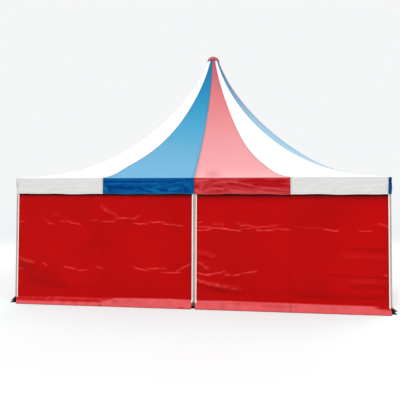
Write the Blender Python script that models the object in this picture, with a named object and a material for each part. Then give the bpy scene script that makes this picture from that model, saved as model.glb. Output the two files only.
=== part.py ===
"""Pagoda tent, 6 m square, closed by walls on all four sides.

Aluminium posts on steel feet carry four eave beams. Two stays cross from corner to corner
and carry the mast, whose head plate holds up the roof membrane: sixteen gores, each with its
piece of valance. A wall panel closes each bay and turns out into a skirt at the ground.

Frame: origin on the ground at the centre of the tent, +X right, +Y to the back, +Z up.
"""
import math

import bmesh
import bpy
import numpy as np

# Driving dimensions, in metres
HALF = 3.0                   # half a side, to the outer faces of the posts
EAVE = 2.05                  # outer edge of the roof, where the valance turns down
VALANCE_DROP = 0.27
CROWN = 5.125                # upper end of the membrane, under the cap
CROWN_RADIUS = 0.138
MEMBRANE = 0.003             # thickness of roof and walls
GAP = 0.0003                 # clearance between pieces that touch

# Form of the roof
SAG_POWER = 0.5              # 1 is a straight slope, less sags more
ROUNDING_RATE = 5.2          # how fast the square of the eave turns round going up
ROUNDING_POWER = 0.70
FULLNESS = 0.035             # how much wider the roof is halfway up than the plain sag
SQUAREST = 1 / 60            # roundness at the eave; 0.5 is a circle
SEAM_BOW = 0.163             # how far the quarter seams bow towards the middle of their side
BOW_COURSE = 2.5             # the bow runs as t (1 - t)^2.5, t from the eave to the crown
BOW_PEAK = BOW_COURSE ** BOW_COURSE / (1 + BOW_COURSE) ** (1 + BOW_COURSE)

# Posts, beams and feet
NOSE_WIDTH = 0.040           # part of a middle post that shows between the walls
CORNER_NOSE = 0.021
NOSE_DEPTH = 0.012
POST_SIDE = 0.064
TUBE_WALL = 0.003
BEAM_SIDE = 0.060
BEAM_STEP = 0.0047           # beam face outside the posts, so that the valance hangs clear of the walls
BEAM_DROP = 0.0035           # beam top below the eave edge, for the membrane over it
PLATE = 0.008
FOOT_REACH = 0.050           # how far a corner foot stands out past the posts
FOOT_HEEL = 0.010            # and how far behind them
MIDDLE_REACH = 0.065
MIDDLE_HEEL = 0.030
FOOT_CLEARANCE = 0.002       # middle foot to the ends of the skirts, rib to the edge of its plate
RIB_HEIGHT = 0.090

# Walls and skirt
FOLD_HEIGHT = 0.12           # where the wall turns out
SKIRT_REACH = 0.105
SKIRT_END_MIDDLE = 0.036     # from the middle of the side to the end of the skirt
SKIRT_END_CORNER = 2.93
SKIRT_LIFT = 0.0005          # lower edge of the skirt above the ground

# Mast, stays and cap
MAST_RADIUS = 0.038
MAST_FOOT = 1.80
HUB_RADIUS = 0.080
HUB_THICK = 0.020
STAY_RADIUS = 0.006
STAY_START = 0.056           # from the axis to the end of a rod inside its hub plate
STAY_START_HEIGHT = 0.008    # the same end above the bottom of the plate
ANCHOR_LEG = 0.070
ANCHOR_HEIGHT = 0.040
CAP_HEIGHT = 0.137
CAP_SKIRT = 0.012            # how far the cap reaches down over the membrane
CAP_OVERHANG = 0.0097        # and how far out past it
CAP_SPRING = 0.004           # start of the dome above the end of the membrane
CAP_POLE = 0.001             # closed eyelet at the top of the dome
CAP_STEPS = 10
HEAD_PLATE = 0.010
HEAD_PLATE_IN = 0.004        # plate's edge inside the end of the membrane
HEAD_PLATE_DROP = 0.001

# Numbers of steps
SIDES = ("front", "right", "back", "left")
GORES_PER_SIDE = 4
STEPS_ACROSS = 5
STEPS_UP = 12
ROW_POWER = 1.5              # rows of faces crowd towards the eave, where the roof bends most
ROUND_STEPS = 48
ROD_STEPS = 8
BISECTIONS = 40

# Where the membrane runs, worked out from the above
BEAM_FACE = HALF + BEAM_STEP
EAVE_HALF = BEAM_FACE + GAP + MEMBRANE
BEAM_TOP = EAVE - BEAM_DROP
BEAM_BOTTOM = BEAM_TOP - BEAM_SIDE
WALL_INNER = HALF - NOSE_DEPTH + GAP
WALL_OUTER = WALL_INNER + MEMBRANE

# Colours of the roof from the left end of the front, going right round the tent
GORE_COLOURS = ("white", "blue", "red")

FINISHES = {
    "white": ("pvc_white", (0.86, 0.86, 0.85), 0.45, 0.0),
    "blue": ("pvc_blue", (0.03, 0.30, 0.60), 0.45, 0.0),
    "red": ("pvc_red", (0.75, 0.12, 0.15), 0.45, 0.0),
    "wall": ("pvc_wall_red", (0.47, 0.005, 0.005), 0.40, 0.0),
    "cap": ("pvc_cap_red", (0.62, 0.06, 0.09), 0.45, 0.0),
    "aluminium": ("aluminium", (0.62, 0.62, 0.60), 0.35, 1.0),
    "foot": ("black_steel", (0.02, 0.02, 0.02), 0.5, 0.6),
    "steel": ("galvanised_steel", (0.45, 0.46, 0.47), 0.45, 1.0),
}


def clear_scene():
    for item in list(bpy.data.objects):
        bpy.data.objects.remove(item, do_unlink=True)


def material(finish):
    name, colour, roughness, metallic = FINISHES[finish]
    found = bpy.data.materials.get(name)
    if found:
        return found
    made = bpy.data.materials.new(name)
    made.use_nodes = True
    shader = made.node_tree.nodes["Principled BSDF"]
    shader.inputs["Base Color"].default_value = (*colour, 1.0)
    shader.inputs["Roughness"].default_value = roughness
    shader.inputs["Metallic"].default_value = metallic
    return made


def add_object(name, points, faces, finish, turn=0):
    """Make an object from points and faces, turned by a number of quarter turns about Z."""
    mesh = bpy.data.meshes.new(name)
    mesh.from_pydata([tuple(point) for point in points], [], faces)
    mesh.materials.append(material(finish))
    made = bpy.data.objects.new(name, mesh)
    made.rotation_euler = (0.0, 0.0, turn * math.pi / 2)
    bpy.context.collection.objects.link(made)
    return made


def fuse(body, other):
    """Join another closed shape to a body, and keep it as a hidden guide."""
    other.hide_render = True
    other.display_type = "WIRE"
    other.hide_set(True)
    join = body.modifiers.new("Join", "BOOLEAN")
    join.operation = "UNION"
    join.object = other


def inset(outline, depth):
    """Offset a closed counter-clockwise outline inwards, mitred at its corners."""
    moved = []
    for index, corner in enumerate(outline):
        before = outline[index - 1]
        after = outline[(index + 1) % len(outline)]
        arrive = np.subtract(corner, before)
        leave = np.subtract(after, corner)
        normal_in = np.array([-arrive[1], arrive[0]]) / np.hypot(*arrive)
        normal_out = np.array([-leave[1], leave[0]]) / np.hypot(*leave)
        mitre = (normal_in + normal_out) / (1.0 + normal_in @ normal_out)
        moved.append(tuple(np.asarray(corner) + depth * mitre))
    return moved


def prism(outline, low, high):
    """Points and faces of a counter-clockwise outline drawn up from low to high."""
    count = len(outline)
    points = [(x, y, z) for z in (low, high) for x, y in outline]
    faces = [[i, (i + 1) % count, count + (i + 1) % count, count + i] for i in range(count)]
    faces.append(list(range(count - 1, -1, -1)))
    faces.append(list(range(count, 2 * count)))
    return points, faces


def hollow_loops(loops):
    """Faces of a hollow bar from four equal loops: outer and inner at each end."""
    count = len(loops[0])
    points = [point for loop in loops for point in loop]
    outer_low, inner_low, outer_high, inner_high = (k * count for k in range(4))
    faces = []
    for i in range(count):
        j = (i + 1) % count
        faces.append([outer_low + i, outer_low + j, outer_high + j, outer_high + i])
        faces.append([inner_low + j, inner_low + i, inner_high + i, inner_high + j])
        faces.append([outer_low + j, outer_low + i, inner_low + i, inner_low + j])
        faces.append([outer_high + i, outer_high + j, inner_high + j, inner_high + i])
    return points, faces


def box_outline(low_x, high_x, low_y, high_y):
    return [(low_x, low_y), (high_x, low_y), (high_x, high_y), (low_x, high_y)]


def spun(name, profile, finish):
    """Turn a closed profile of (radius, height) points about Z, with no point on the axis."""
    angles = np.arange(ROUND_STEPS) * 2 * math.pi / ROUND_STEPS
    points = [(r * math.cos(a), r * math.sin(a), z) for a in angles for r, z in profile]
    count = len(profile)
    faces = []
    for step in range(ROUND_STEPS):
        here = step * count
        there = (step + 1) % ROUND_STEPS * count
        for i in range(count):
            j = (i + 1) % count
            faces.append([here + i, there + i, there + j, here + j])
    made = add_object(name, points, faces, finish)
    made.data.shade_smooth()
    made.data.set_sharp_from_angle(angle=math.radians(35))
    return made


def roof_half_width(rise):
    """Half width of the roof at the middle of a side, for a rise from 0 at the eave to 1."""
    eave = EAVE_HALF ** SAG_POWER
    crown = CROWN_RADIUS ** SAG_POWER
    return (eave - rise * (eave - crown)) ** (1 / SAG_POWER) + FULLNESS * 4 * rise * (1 - rise)


def roof_point(place, rise):
    """Points of the outer roof surface.

    place counts gores rightwards from the middle of the front, 16 to the round. A level
    section is a superellipse, square at the eave and round at the crown. Each point runs in
    from its own place on the eave to its own place on the crown, and bisection finds where
    that line crosses the section.
    """
    side = np.round(place / GORES_PER_SIDE)
    along = place - GORES_PER_SIDE * side
    bay = 2 * EAVE_HALF / GORES_PER_SIDE
    angle = along * 2 * math.pi / (4 * GORES_PER_SIDE)
    roundness = 0.5 * (1 - np.exp(-ROUNDING_RATE * np.maximum(rise, 1e-9) ** ROUNDING_POWER))
    power = 1 / np.maximum(roundness, SQUAREST)
    width = roof_half_width(rise)
    bow = SEAM_BOW * np.sin(math.pi * along / 2)

    def on_line(inward):
        bend = bow * inward * (1 - inward) ** BOW_COURSE / BOW_PEAK
        x = along * bay * (1 - inward) + CROWN_RADIUS * np.sin(angle) * inward - bend
        y = -EAVE_HALF * (1 - inward) - CROWN_RADIUS * np.cos(angle) * inward
        return x, y

    low = np.zeros(np.broadcast(place, rise).shape)
    high = np.ones_like(low)
    for _ in range(BISECTIONS):
        inward = (low + high) / 2
        x, y = on_line(inward)
        reach = (np.abs(x) ** power + np.abs(y) ** power) ** (1 / power)
        inside = reach < width
        high = np.where(inside, inward, high)
        low = np.where(inside, low, inward)
    x, y = on_line(high * (rise > 0))
    turn = side * math.pi / 2
    height = EAVE + (CROWN - EAVE) * rise + np.zeros_like(x)
    return np.stack([x * np.cos(turn) - y * np.sin(turn), x * np.sin(turn) + y * np.cos(turn), height], -1)


def roof_surfaces():
    """Outer and inner points of the whole roof, rows from the crown down to the valance hem.

    The inner surface lies one membrane thickness behind the outer one, measured square to
    the faces that meet at each point, and flat against the eave beams at the valance.
    """
    columns = 4 * GORES_PER_SIDE * STEPS_ACROSS
    place = np.arange(columns) / STEPS_ACROSS - GORES_PER_SIDE / 2
    rise = (np.arange(STEPS_UP, -1, -1) / STEPS_UP) ** ROW_POWER
    outer = roof_point(place[None, :], rise[:, None])
    hem = outer[-1:] - np.array([0.0, 0.0, VALANCE_DROP])
    outer = np.concatenate([outer, hem])
    right = np.roll(outer, -1, axis=1)
    cross = np.cross(right[1:] - outer[:-1], right[:-1] - outer[1:])
    facing = cross / np.linalg.norm(cross, axis=-1, keepdims=True)
    around = np.stack([facing, np.roll(facing, 1, axis=1)])
    blank = np.zeros_like(around[:, :1])
    around = np.concatenate([np.concatenate([blank, around], 1), np.concatenate([around, blank], 1)])
    total = around.sum(0)
    normal = total / np.linalg.norm(total, axis=-1, keepdims=True)
    present = np.linalg.norm(around, axis=-1) > 0.5
    lean = (around * normal).sum(-1)
    lean = np.where(present, lean, 0).sum(0) / present.sum(0)
    inner = outer - normal * (MEMBRANE / lean)[..., None]
    flat = EAVE_HALF - MEMBRANE
    inner[-2:, :, :2] = np.clip(outer[-2:, :, :2], -flat, flat)
    inner[-2:, :, 2] = [[EAVE - MEMBRANE], [EAVE - VALANCE_DROP]]
    return outer, inner


def make_roof():
    outer, inner = roof_surfaces()
    rows = outer.shape[0]
    across = STEPS_ACROSS + 1
    for number in range(4 * GORES_PER_SIDE):
        columns = (number * STEPS_ACROSS + np.arange(across)) % outer.shape[1]
        skins = []
        for surface in (outer, inner):
            skin = surface[:, columns].copy()
            first = skin[:, 1] - skin[:, 0]
            last = skin[:, -2] - skin[:, -1]
            skin[:, 0] += first / np.linalg.norm(first, axis=-1, keepdims=True) * GAP / 2
            skin[:, -1] += last / np.linalg.norm(last, axis=-1, keepdims=True) * GAP / 2
            skins.append(skin.reshape(-1, 3))
        back = rows * across
        faces = []
        # Both sides of a seam are split along the same diagonals, so their edges stay apart
        for row in range(rows - 1):
            for column in range(across - 1):
                a = row * across + column
                b, c, d = a + across, a + across + 1, a + 1
                faces += [[a, b, c], [a, c, d]]
                faces += [[back + c, back + b, back + a], [back + d, back + c, back + a]]
        edge = list(range(across))
        edge += [row * across + across - 1 for row in range(1, rows)]
        edge += [(rows - 1) * across + column for column in range(across - 2, -1, -1)]
        edge += [row * across for row in range(rows - 2, 0, -1)]
        for start, end in zip(edge, edge[1:] + edge[:1]):
            if start < end:
                faces += [[start, end, back + end], [start, back + end, back + start]]
            else:
                faces += [[start, end, back + start], [end, back + end, back + start]]
        side = SIDES[number // GORES_PER_SIDE]
        name = f"roof_{side}_{number % GORES_PER_SIDE + 1}"
        colour = GORE_COLOURS[number % len(GORE_COLOURS)]
        gore = add_object(name, np.concatenate(skins), faces, colour)
        gore.data.shade_smooth()
        gore.data.set_sharp_from_angle(angle=math.radians(30))


def make_wall(side, hand):
    """One bay of wall: hand is -1 for the left bay of its side and 1 for the right one.

    The section is the wall and the skirt that turns out from it, drawn across the bay. The
    wall fills the bay between the grooves of its posts, and the skirt narrows to the ground.
    """
    low = NOSE_WIDTH / 2 + GAP
    high = HALF - CORNER_NOSE - GAP
    lean = math.atan2(SKIRT_REACH, FOLD_HEIGHT)
    drop = MEMBRANE * math.tan(lean / 2)
    toe_rise = MEMBRANE * math.sin(lean)
    rows = [
        (low, high, WALL_OUTER, BEAM_BOTTOM - GAP),
        (low, high, WALL_OUTER, FOLD_HEIGHT),
        (SKIRT_END_MIDDLE, SKIRT_END_CORNER, HALF + SKIRT_REACH, toe_rise + SKIRT_LIFT),
        (SKIRT_END_MIDDLE, SKIRT_END_CORNER, HALF + SKIRT_REACH - MEMBRANE * math.cos(lean), SKIRT_LIFT),
        (low, high, WALL_INNER, FOLD_HEIGHT - drop),
        (low, high, WALL_INNER, BEAM_BOTTOM - GAP),
    ]
    points = []
    for start, end, out, height in rows:
        ends = (start, end) if hand > 0 else (-end, -start)
        points += [(end, -out, height) for end in ends]
    count = len(rows)
    faces = []
    for row in range(count):
        after = (row + 1) % count
        faces.append([2 * row, 2 * after, 2 * after + 1, 2 * row + 1])
    faces += [[0, 10, 8, 2], [2, 8, 6, 4], [1, 3, 9, 11], [3, 5, 7, 9]]
    add_object(f"wall_{SIDES[side]}_{1 if hand < 0 else 2}", points, faces, "wall", side)


def make_corner_post(side):
    """Post at the right-hand end of its side, hollow, with a nose between the two walls."""
    nose, deep = HALF - CORNER_NOSE, HALF - NOSE_DEPTH
    back = deep - POST_SIDE
    outline = [(nose, -HALF), (HALF, -HALF), (HALF, -nose), (deep, -nose), (deep, -back), (back, -back),
               (back, -deep), (nose, -deep)]
    make_post(f"post_corner_{side + 1}", outline, side)


def make_middle_post(side):
    nose, body = NOSE_WIDTH / 2, POST_SIDE / 2
    deep = HALF - NOSE_DEPTH
    back = deep - POST_SIDE
    outline = [(-nose, -HALF), (nose, -HALF), (nose, -deep), (body, -deep), (body, -back), (-body, -back),
               (-body, -deep), (-nose, -deep)]
    make_post(f"post_{SIDES[side]}", outline, side)


def make_post(name, outline, side):
    inner = inset(outline, TUBE_WALL)
    low, high = PLATE + GAP, BEAM_BOTTOM - GAP
    loops = [[(x, y, z) for x, y in loop] for z in (low, high) for loop in (outline, inner)]
    points, faces = hollow_loops(loops)
    add_object(name, points, faces, "aluminium", side)


def make_rib(name, start, reach, across, along_x, side):
    """Upright triangular rib on a foot plate, out from a post face."""
    half = PLATE / 2
    triangle = [(start, PLATE / 2), (start + reach, PLATE / 2), (start, RIB_HEIGHT)]
    points = []
    for offset in (-half, half):
        for out, height in triangle:
            points.append((out, -across + offset, height) if along_x else (across + offset, -out, height))
    faces = [[0, 1, 2], [5, 4, 3], [0, 3, 4, 1], [1, 4, 5, 2], [2, 5, 3, 0]]
    if along_x:
        faces = [face[::-1] for face in faces]
    return add_object(name, points, faces, "foot", side)


def make_corner_foot(side):
    low = HALF - NOSE_DEPTH - POST_SIDE - FOOT_HEEL
    high = HALF + FOOT_REACH
    points, faces = prism(box_outline(low, high, -high, -low), 0.0, PLATE)
    foot = add_object(f"foot_corner_{side + 1}", points, faces, "foot", side)
    middle = HALF - CORNER_NOSE / 2
    reach = FOOT_REACH - FOOT_CLEARANCE
    for along_x in (False, True):
        name = f"rib_corner_{side}_{along_x:d}"
        fuse(foot, make_rib(name, HALF + GAP, reach, middle, along_x, side))


def make_middle_foot(side):
    half = SKIRT_END_MIDDLE - FOOT_CLEARANCE
    low = HALF - NOSE_DEPTH - POST_SIDE - MIDDLE_HEEL
    high = HALF + MIDDLE_REACH
    points, faces = prism(box_outline(-half, half, -high, -low), 0.0, PLATE)
    foot = add_object(f"foot_{SIDES[side]}", points, faces, "foot", side)
    fuse(foot, make_rib(f"rib_{side}", HALF + GAP, MIDDLE_REACH - FOOT_CLEARANCE, 0.0, False, side))


def make_beam(side):
    """Hollow eave beam of one side, mitred to its neighbours at both ends."""
    section = [(-BEAM_FACE, BEAM_BOTTOM), (-BEAM_FACE + BEAM_SIDE, BEAM_BOTTOM),
               (-BEAM_FACE + BEAM_SIDE, BEAM_TOP), (-BEAM_FACE, BEAM_TOP)]
    inner = inset(section, TUBE_WALL)
    loops = []
    for hand in (-1, 1):
        for loop in (section, inner):
            loops.append([(hand * (-y - GAP), y, z) for y, z in loop])
    points, faces = hollow_loops(loops)
    add_object(f"eave_beam_{SIDES[side]}", points, faces, "aluminium", side)


def make_stay(number, level):
    """Diagonal stay: a rod from each corner to a hub plate at the given level, with an anchor
    block in the inner corner of the eave beams at both ends."""
    inner = (BEAM_FACE - BEAM_SIDE - GAP) * math.sqrt(2)
    angles = np.arange(ROUND_STEPS // 2) * 4 * math.pi / ROUND_STEPS
    hub = [(HUB_RADIUS * math.cos(a), HUB_RADIUS * math.sin(a)) for a in angles]
    turn = number + 0.5
    points, faces = prism(hub, level, level + HUB_THICK)
    stay = add_object(f"stay_{number + 1}", points, faces, "steel", turn)
    middle = (BEAM_TOP + BEAM_BOTTOM) / 2
    for hand in (-1, 1):
        leg = ANCHOR_LEG / math.sqrt(2)
        block = [(hand * inner, 0.0), (hand * (inner - leg), leg), (hand * (inner - leg), -leg)]
        if hand < 0:
            block.reverse()
        points, faces = prism(block, middle - ANCHOR_HEIGHT / 2, middle + ANCHOR_HEIGHT / 2)
        fuse(stay, add_object(f"anchor_{number}_{hand}", points, faces, "steel", turn))
        near = np.array([hand * STAY_START, level + STAY_START_HEIGHT])
        far = np.array([hand * (inner - leg / 2), middle])
        fuse(stay, make_rod(f"rod_{number}_{hand}", near, far, turn))


def make_rod(name, near, far, turn):
    """Many-sided rod in the XZ plane between two points."""
    run = (far - near) / np.linalg.norm(far - near)
    up = np.array([-run[1], run[0]])
    points = []
    for end in (near, far):
        for step in range(ROD_STEPS):
            angle = (step + 0.5) * 2 * math.pi / ROD_STEPS
            offset = STAY_RADIUS * math.cos(angle) * up
            points.append((end[0] + offset[0], STAY_RADIUS * math.sin(angle), end[1] + offset[1]))
    count = ROD_STEPS
    faces = [[i, (i + 1) % count, count + (i + 1) % count, count + i] for i in range(count)]
    faces += [list(range(count - 1, -1, -1)), list(range(count, 2 * count))]
    rod = add_object(name, points, faces, "steel", turn)
    shell = bmesh.new()
    shell.from_mesh(rod.data)
    bmesh.ops.recalc_face_normals(shell, faces=shell.faces)
    shell.to_mesh(rod.data)
    shell.free()
    return rod


def dome_height(radius, outer_radius, height):
    return height * math.sqrt(max(0.0, 1 - (radius / outer_radius) ** 2))


def make_mast_and_cap():
    """Turned mast with the head plate that carries the membrane, and the domed cap over it."""
    cap_radius = CROWN_RADIUS + CAP_OVERHANG
    rim = CROWN - CAP_SKIRT
    spring = CROWN + CAP_SPRING
    outer_rise = CAP_HEIGHT - (spring - rim)
    inner_radius = cap_radius - MEMBRANE
    inner_rise = outer_rise - MEMBRANE
    skins = []
    for radius, rise in ((cap_radius, outer_rise), (inner_radius, inner_rise)):
        radii = [radius * math.cos(math.pi / 2 * k / CAP_STEPS) for k in range(CAP_STEPS)] + [CAP_POLE]
        skins.append([(radius, rim)] + [(r, spring + dome_height(r, radius, rise)) for r in radii])
    spun("apex_cap", skins[0] + skins[1][::-1], "cap")

    under = skins[1][:0:-1]
    top = np.interp(MAST_RADIUS, [r for r, _ in under], [z for _, z in under]) - GAP
    plate_radius = CROWN_RADIUS - HEAD_PLATE_IN
    plate_top = CROWN - HEAD_PLATE_DROP
    low = MAST_FOOT + 2 * HUB_THICK + 2 * GAP
    bore = MAST_RADIUS - TUBE_WALL
    profile = [(bore, low), (MAST_RADIUS, low), (MAST_RADIUS, plate_top - HEAD_PLATE),
               (plate_radius, plate_top - HEAD_PLATE), (plate_radius, plate_top), (MAST_RADIUS, plate_top),
               (MAST_RADIUS, top), (bore, top)]
    spun("mast", profile, "steel")


def main():
    clear_scene()
    make_roof()
    for side in range(4):
        make_wall(side, -1)
        make_wall(side, 1)
        make_middle_post(side)
        make_corner_post(side)
        make_middle_foot(side)
        make_corner_foot(side)
        make_beam(side)
    make_stay(0, MAST_FOOT)
    make_stay(1, MAST_FOOT + HUB_THICK + GAP)
    make_mast_and_cap()


main()
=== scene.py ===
import math

import bmesh
import bpy
import mathutils
import numpy as np
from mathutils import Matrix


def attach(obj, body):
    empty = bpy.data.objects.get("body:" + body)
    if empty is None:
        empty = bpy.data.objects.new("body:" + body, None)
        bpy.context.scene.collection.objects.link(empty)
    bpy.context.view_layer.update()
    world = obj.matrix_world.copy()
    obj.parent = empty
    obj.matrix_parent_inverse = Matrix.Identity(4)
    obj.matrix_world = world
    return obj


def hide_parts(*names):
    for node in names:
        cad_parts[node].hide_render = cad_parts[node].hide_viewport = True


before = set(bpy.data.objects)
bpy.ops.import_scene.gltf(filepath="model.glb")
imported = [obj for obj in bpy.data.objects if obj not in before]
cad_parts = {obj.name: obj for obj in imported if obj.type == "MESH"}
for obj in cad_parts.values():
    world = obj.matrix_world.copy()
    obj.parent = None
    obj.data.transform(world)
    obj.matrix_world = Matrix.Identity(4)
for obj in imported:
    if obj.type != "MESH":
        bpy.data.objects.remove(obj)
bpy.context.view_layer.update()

# Looks of a pagoda tent, 6 m square: roof membranes with their valances, walls with storage
# creases, posts, feet and cap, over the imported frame. Lengths are metres. Pieces are worked
# out for the front, which faces -Y, and turned by quarter turns for the other sides. A bay is
# the half of a side between its middle post and a corner, 0 on the left and 1 on the right.
SIDES = ("front", "right", "back", "left")
BAYS = (0, 1)
GORES_PER_SIDE = 4
GORES = GORES_PER_SIDE * len(SIDES)
GORE_COLOURS = ("white", "blue", "red")

# Roof, as in the part's source, and how its outer seams run low down
EAVE = 2.05
EAVE_HALF = 3.008
CROWN = 5.125                # height of the membrane's upper edge, under the cap
CROWN_RADIUS = 0.138
SAG_POWER = 0.5              # of the power mean that makes the slope sag
FULLNESS = 0.035             # how far out it is filled again, halfway up
ROUNDING_RATE = 5.2          # how soon up the roof its level section turns round
ROUNDING_POWER = 0.70
SQUAREST = 1 / 60            # roundness of the section at the eave, 1 / the superellipse's power
SEAM_BOW = 0.163             # bow of a side's outer seams towards its middle
BOW_COURSE = 2.5             # it is greatest at 1 / 3.5 of the way in
EAVE_PULL = 0.09             # their run inwards just above the eave
EAVE_PULL_AT = 0.037         # share of the way in where that is greatest
SEAM_SLIP = 0.045            # how far both sit to the left, low down
SLIP_COURSE = 5.0            # greatest at 1 / 6 of the way in

# Walls and posts, as in the part's source, but for the skirt's hem: it lies 15 mm further out
# and has its own end at each corner
HALF = 3.0                   # outer face of the posts
WALL_OUTER = 2.9913
WALL_TOP = 1.9862
WALL_START = 0.0203          # ends of a wall, from the middle of its side
WALL_END = 2.9787
SKIRT_END_MIDDLE = 0.036     # ends of its hem, from the middle of its side
SKIRT_END_CORNER = (2.900, 2.950)     # by bay
SKIRT_HEM = 3.120
NOSE = 0.020                 # half width of a middle post's nose, between two walls
CORNER_NOSE = 0.021          # width of a corner post's nose
NOSE_DEPTH = 0.012
POST_SIDE = 0.064
TUBE_WALL = 0.003
POST_LOW = 0.0083
POST_HIGH = 1.9862

# Cloth
MEMBRANE = 0.0008
KEDER_ROD = 0.004            # radius of the bead in the eave edge, where roof and valance meet
VALANCE_TOP = 2.0430
VALANCE_HEM = 1.7900
HEM_BAND = 0.024
HEM_STEP = 0.002             # how soon the hem's double layer begins
WELD = 0.025                 # double layer where two panels are welded
WELD_FULL = 0.86             # share of that width before its edge fades
WELD_DEEPER = 0.13           # share of its brightness that the colour loses there
TAPE_WIDTH = 0.018
CORNER_WRAP = 0.046          # how far a side's first valance wraps round the corner

# Folds of the valances, in metres: along from the left end and down from the top, for either
# end, then strength and half width. A negative strength is a hollow.
VALANCE_FOLDS = {
    "white": (
        (0.10, 0.10, 0.95, 0.07, 0.5, 0.022), (0.45, 0.15, 1.45, 0.12, 0.5, 0.018),
        (0.85, 0.20, 1.40, 0.19, 0.4, 0.014), (0.05, 0.19, 0.60, 0.22, 0.4, 0.018),
        (0.15, 0.05, 0.55, 0.12, -0.5, 0.016), (1.00, 0.06, 1.45, 0.05, 0.3, 0.014),
        (0.62, 0.235, 0.80, 0.10, -0.5, 0.012), (1.12, 0.24, 1.30, 0.06, 0.6, 0.012),
        (0.20, 0.24, 0.36, 0.14, 0.5, 0.012)),
    "blue": (
        (0.03, 0.034, 0.95, 0.030, 0.6, 0.008), (0.82, 0.028, 1.27, 0.030, 0.5, 0.008),
        (0.03, 0.095, 0.37, 0.092, 0.7, 0.012), (0.37, 0.092, 0.60, 0.075, 0.7, 0.012),
        (0.61, 0.090, 0.95, 0.075, 0.9, 0.014), (0.66, 0.185, 0.95, 0.200, 0.9, 0.020),
        (0.82, 0.156, 1.05, 0.125, 1.1, 0.006), (1.05, 0.125, 1.31, 0.067, 1.1, 0.006),
        (1.05, 0.200, 1.275, 0.155, 0.9, 0.020), (1.34, 0.034, 1.39, 0.125, 0.7, 0.010),
        (1.445, 0.034, 1.40, 0.140, 0.8, 0.008), (1.30, 0.130, 1.33, 0.205, 0.6, 0.008),
        (1.44, 0.120, 1.49, 0.220, 0.6, 0.012), (0.02, 0.125, 0.085, 0.240, 0.9, 0.020),
        (0.13, 0.245, 1.33, 0.236, 0.8, 0.006), (0.20, 0.156, 0.42, 0.140, 0.4, 0.006),
        (0.00, 0.057, 0.95, 0.061, -1.0, 0.010), (0.05, 0.140, 0.54, 0.170, -1.0, 0.016),
        (0.58, 0.165, 0.82, 0.225, -0.9, 0.010), (0.87, 0.165, 1.10, 0.210, -1.0, 0.010),
        (0.95, 0.050, 1.31, 0.037, -0.6, 0.007), (1.37, 0.156, 1.394, 0.257, -1.0, 0.012),
        (1.31, 0.095, 1.34, 0.200, -0.6, 0.008), (0.085, 0.125, 0.136, 0.257, -0.6, 0.010),
        (1.14, 0.225, 1.31, 0.200, -0.8, 0.008)),
    "red": (
        (0.01, 0.050, 0.245, 0.040, 0.9, 0.014), (0.01, 0.187, 0.147, 0.240, 1.0, 0.020),
        (0.147, 0.080, 0.100, 0.200, 0.8, 0.015), (0.245, 0.125, 0.375, 0.072, 0.9, 0.010),
        (0.375, 0.072, 0.54, 0.057, 0.9, 0.010), (0.54, 0.057, 0.70, 0.072, 1.0, 0.008),
        (0.70, 0.072, 0.96, 0.133, 0.8, 0.009), (0.96, 0.133, 1.483, 0.194, 0.7, 0.010),
        (0.147, 0.200, 0.277, 0.171, 0.8, 0.014), (0.277, 0.171, 0.473, 0.180, 0.8, 0.014),
        (0.54, 0.200, 0.96, 0.225, 0.7, 0.014), (0.96, 0.225, 1.48, 0.225, 0.6, 0.014),
        (0.13, 0.250, 0.375, 0.248, 1.0, 0.005), (0.456, 0.245, 0.90, 0.230, 1.0, 0.005),
        (0.96, 0.171, 1.48, 0.156, 0.3, 0.010), (0.00, 0.018, 0.86, 0.018, 0.5, 0.008),
        (0.23, 0.034, 0.54, 0.031, -0.7, 0.008), (0.02, 0.118, 0.05, 0.148, -1.0, 0.012),
        (0.26, 0.110, 0.47, 0.140, -1.0, 0.010), (0.52, 0.087, 0.96, 0.160, -1.0, 0.012),
        (0.67, 0.041, 1.48, 0.064, -0.8, 0.030), (0.90, 0.110, 1.48, 0.125, -0.9, 0.020),
        (0.34, 0.195, 0.44, 0.200, -0.7, 0.010), (0.065, 0.164, 0.098, 0.217, -0.6, 0.008),
        (1.06, 0.200, 1.48, 0.210, -0.6, 0.010)),
}
VALANCE_FOLD_HEIGHT = 0.006
# Hollows just round the corner in a side's first valance, along from the corner, which also
# darken it as painted shade
CORNER_FOLDS = ((0.008, 0.005, 0.036, 0.27, -2.5, 0.006), (0.0, 0.022, 0.15, 0.008, -2.0, 0.006))
# Share of the light crest colour where the cloth is flat, and how much painted highlight a fold
# of strength 1 adds, a hollow taking it away as painted shade
VALANCE_FOLD_SHADING = {"white": (0.30, 0.11), "blue": (0.30, 0.62), "red": (0.32, 0.55)}
# Share of facets in the folds, in both their height and their painted light and shade
FACETS = {"white": 0.15, "blue": 0.30, "red": 0.30}
FACET_COUNT = 44
FACET_STRETCH = 3.5          # how much longer than high they are
VALANCE_ROWS = {"white": 24, "blue": 38, "red": 38}
HEM_ROWS = (0.904, 0.912, 0.925, 0.95, 0.975, 0.992, 1.0)
VALANCE_COLUMNS = 91
WRAP_COLUMNS = 4
VALANCE_JAG = 0.003          # how far a fold strays, and how often
VALANCE_JAG_EVERY = 0.06
LOWER_FLANK = 1.4            # a fold's lower flank by its upper one
VALANCE_WAVES = 0.0016
VALANCE_OUTMOST = 0.012
VALANCE_INMOST = (0.0012, 0.0075)     # beside the bead, and how much more lower down
FOLDS_FROM_END = 0.05        # over which the folds grow from a valance's ends, and from its top
FOLDS_FROM_TOP = 0.03
CORNER_TUCK = 0.006          # how far the hem draws in at a corner
HEM_THICKER = 0.0012
HEM_SAG = (0.004, 0.003)     # the hem's long and short waves
PAINTED_TOP_LIGHT = 0.5                # painted highlight under the bead, and along the hem
PAINTED_HEM_LIGHT = 0.95
HEM_WELD = 0.8               # depth of colour of the hem's double layer
WRAP_SHADE = 2.6              # painted shade on the end that wraps the corner, where shade falls

# How far the valances' hem hangs below its place, by gores from the middle of a side
HEM_DROP_AT = (-2.0, -1.0, 0.0, 1.0, 1.96)
HEM_DROP = (0.003, 0.000, 0.004, 0.008, 0.003)

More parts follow.
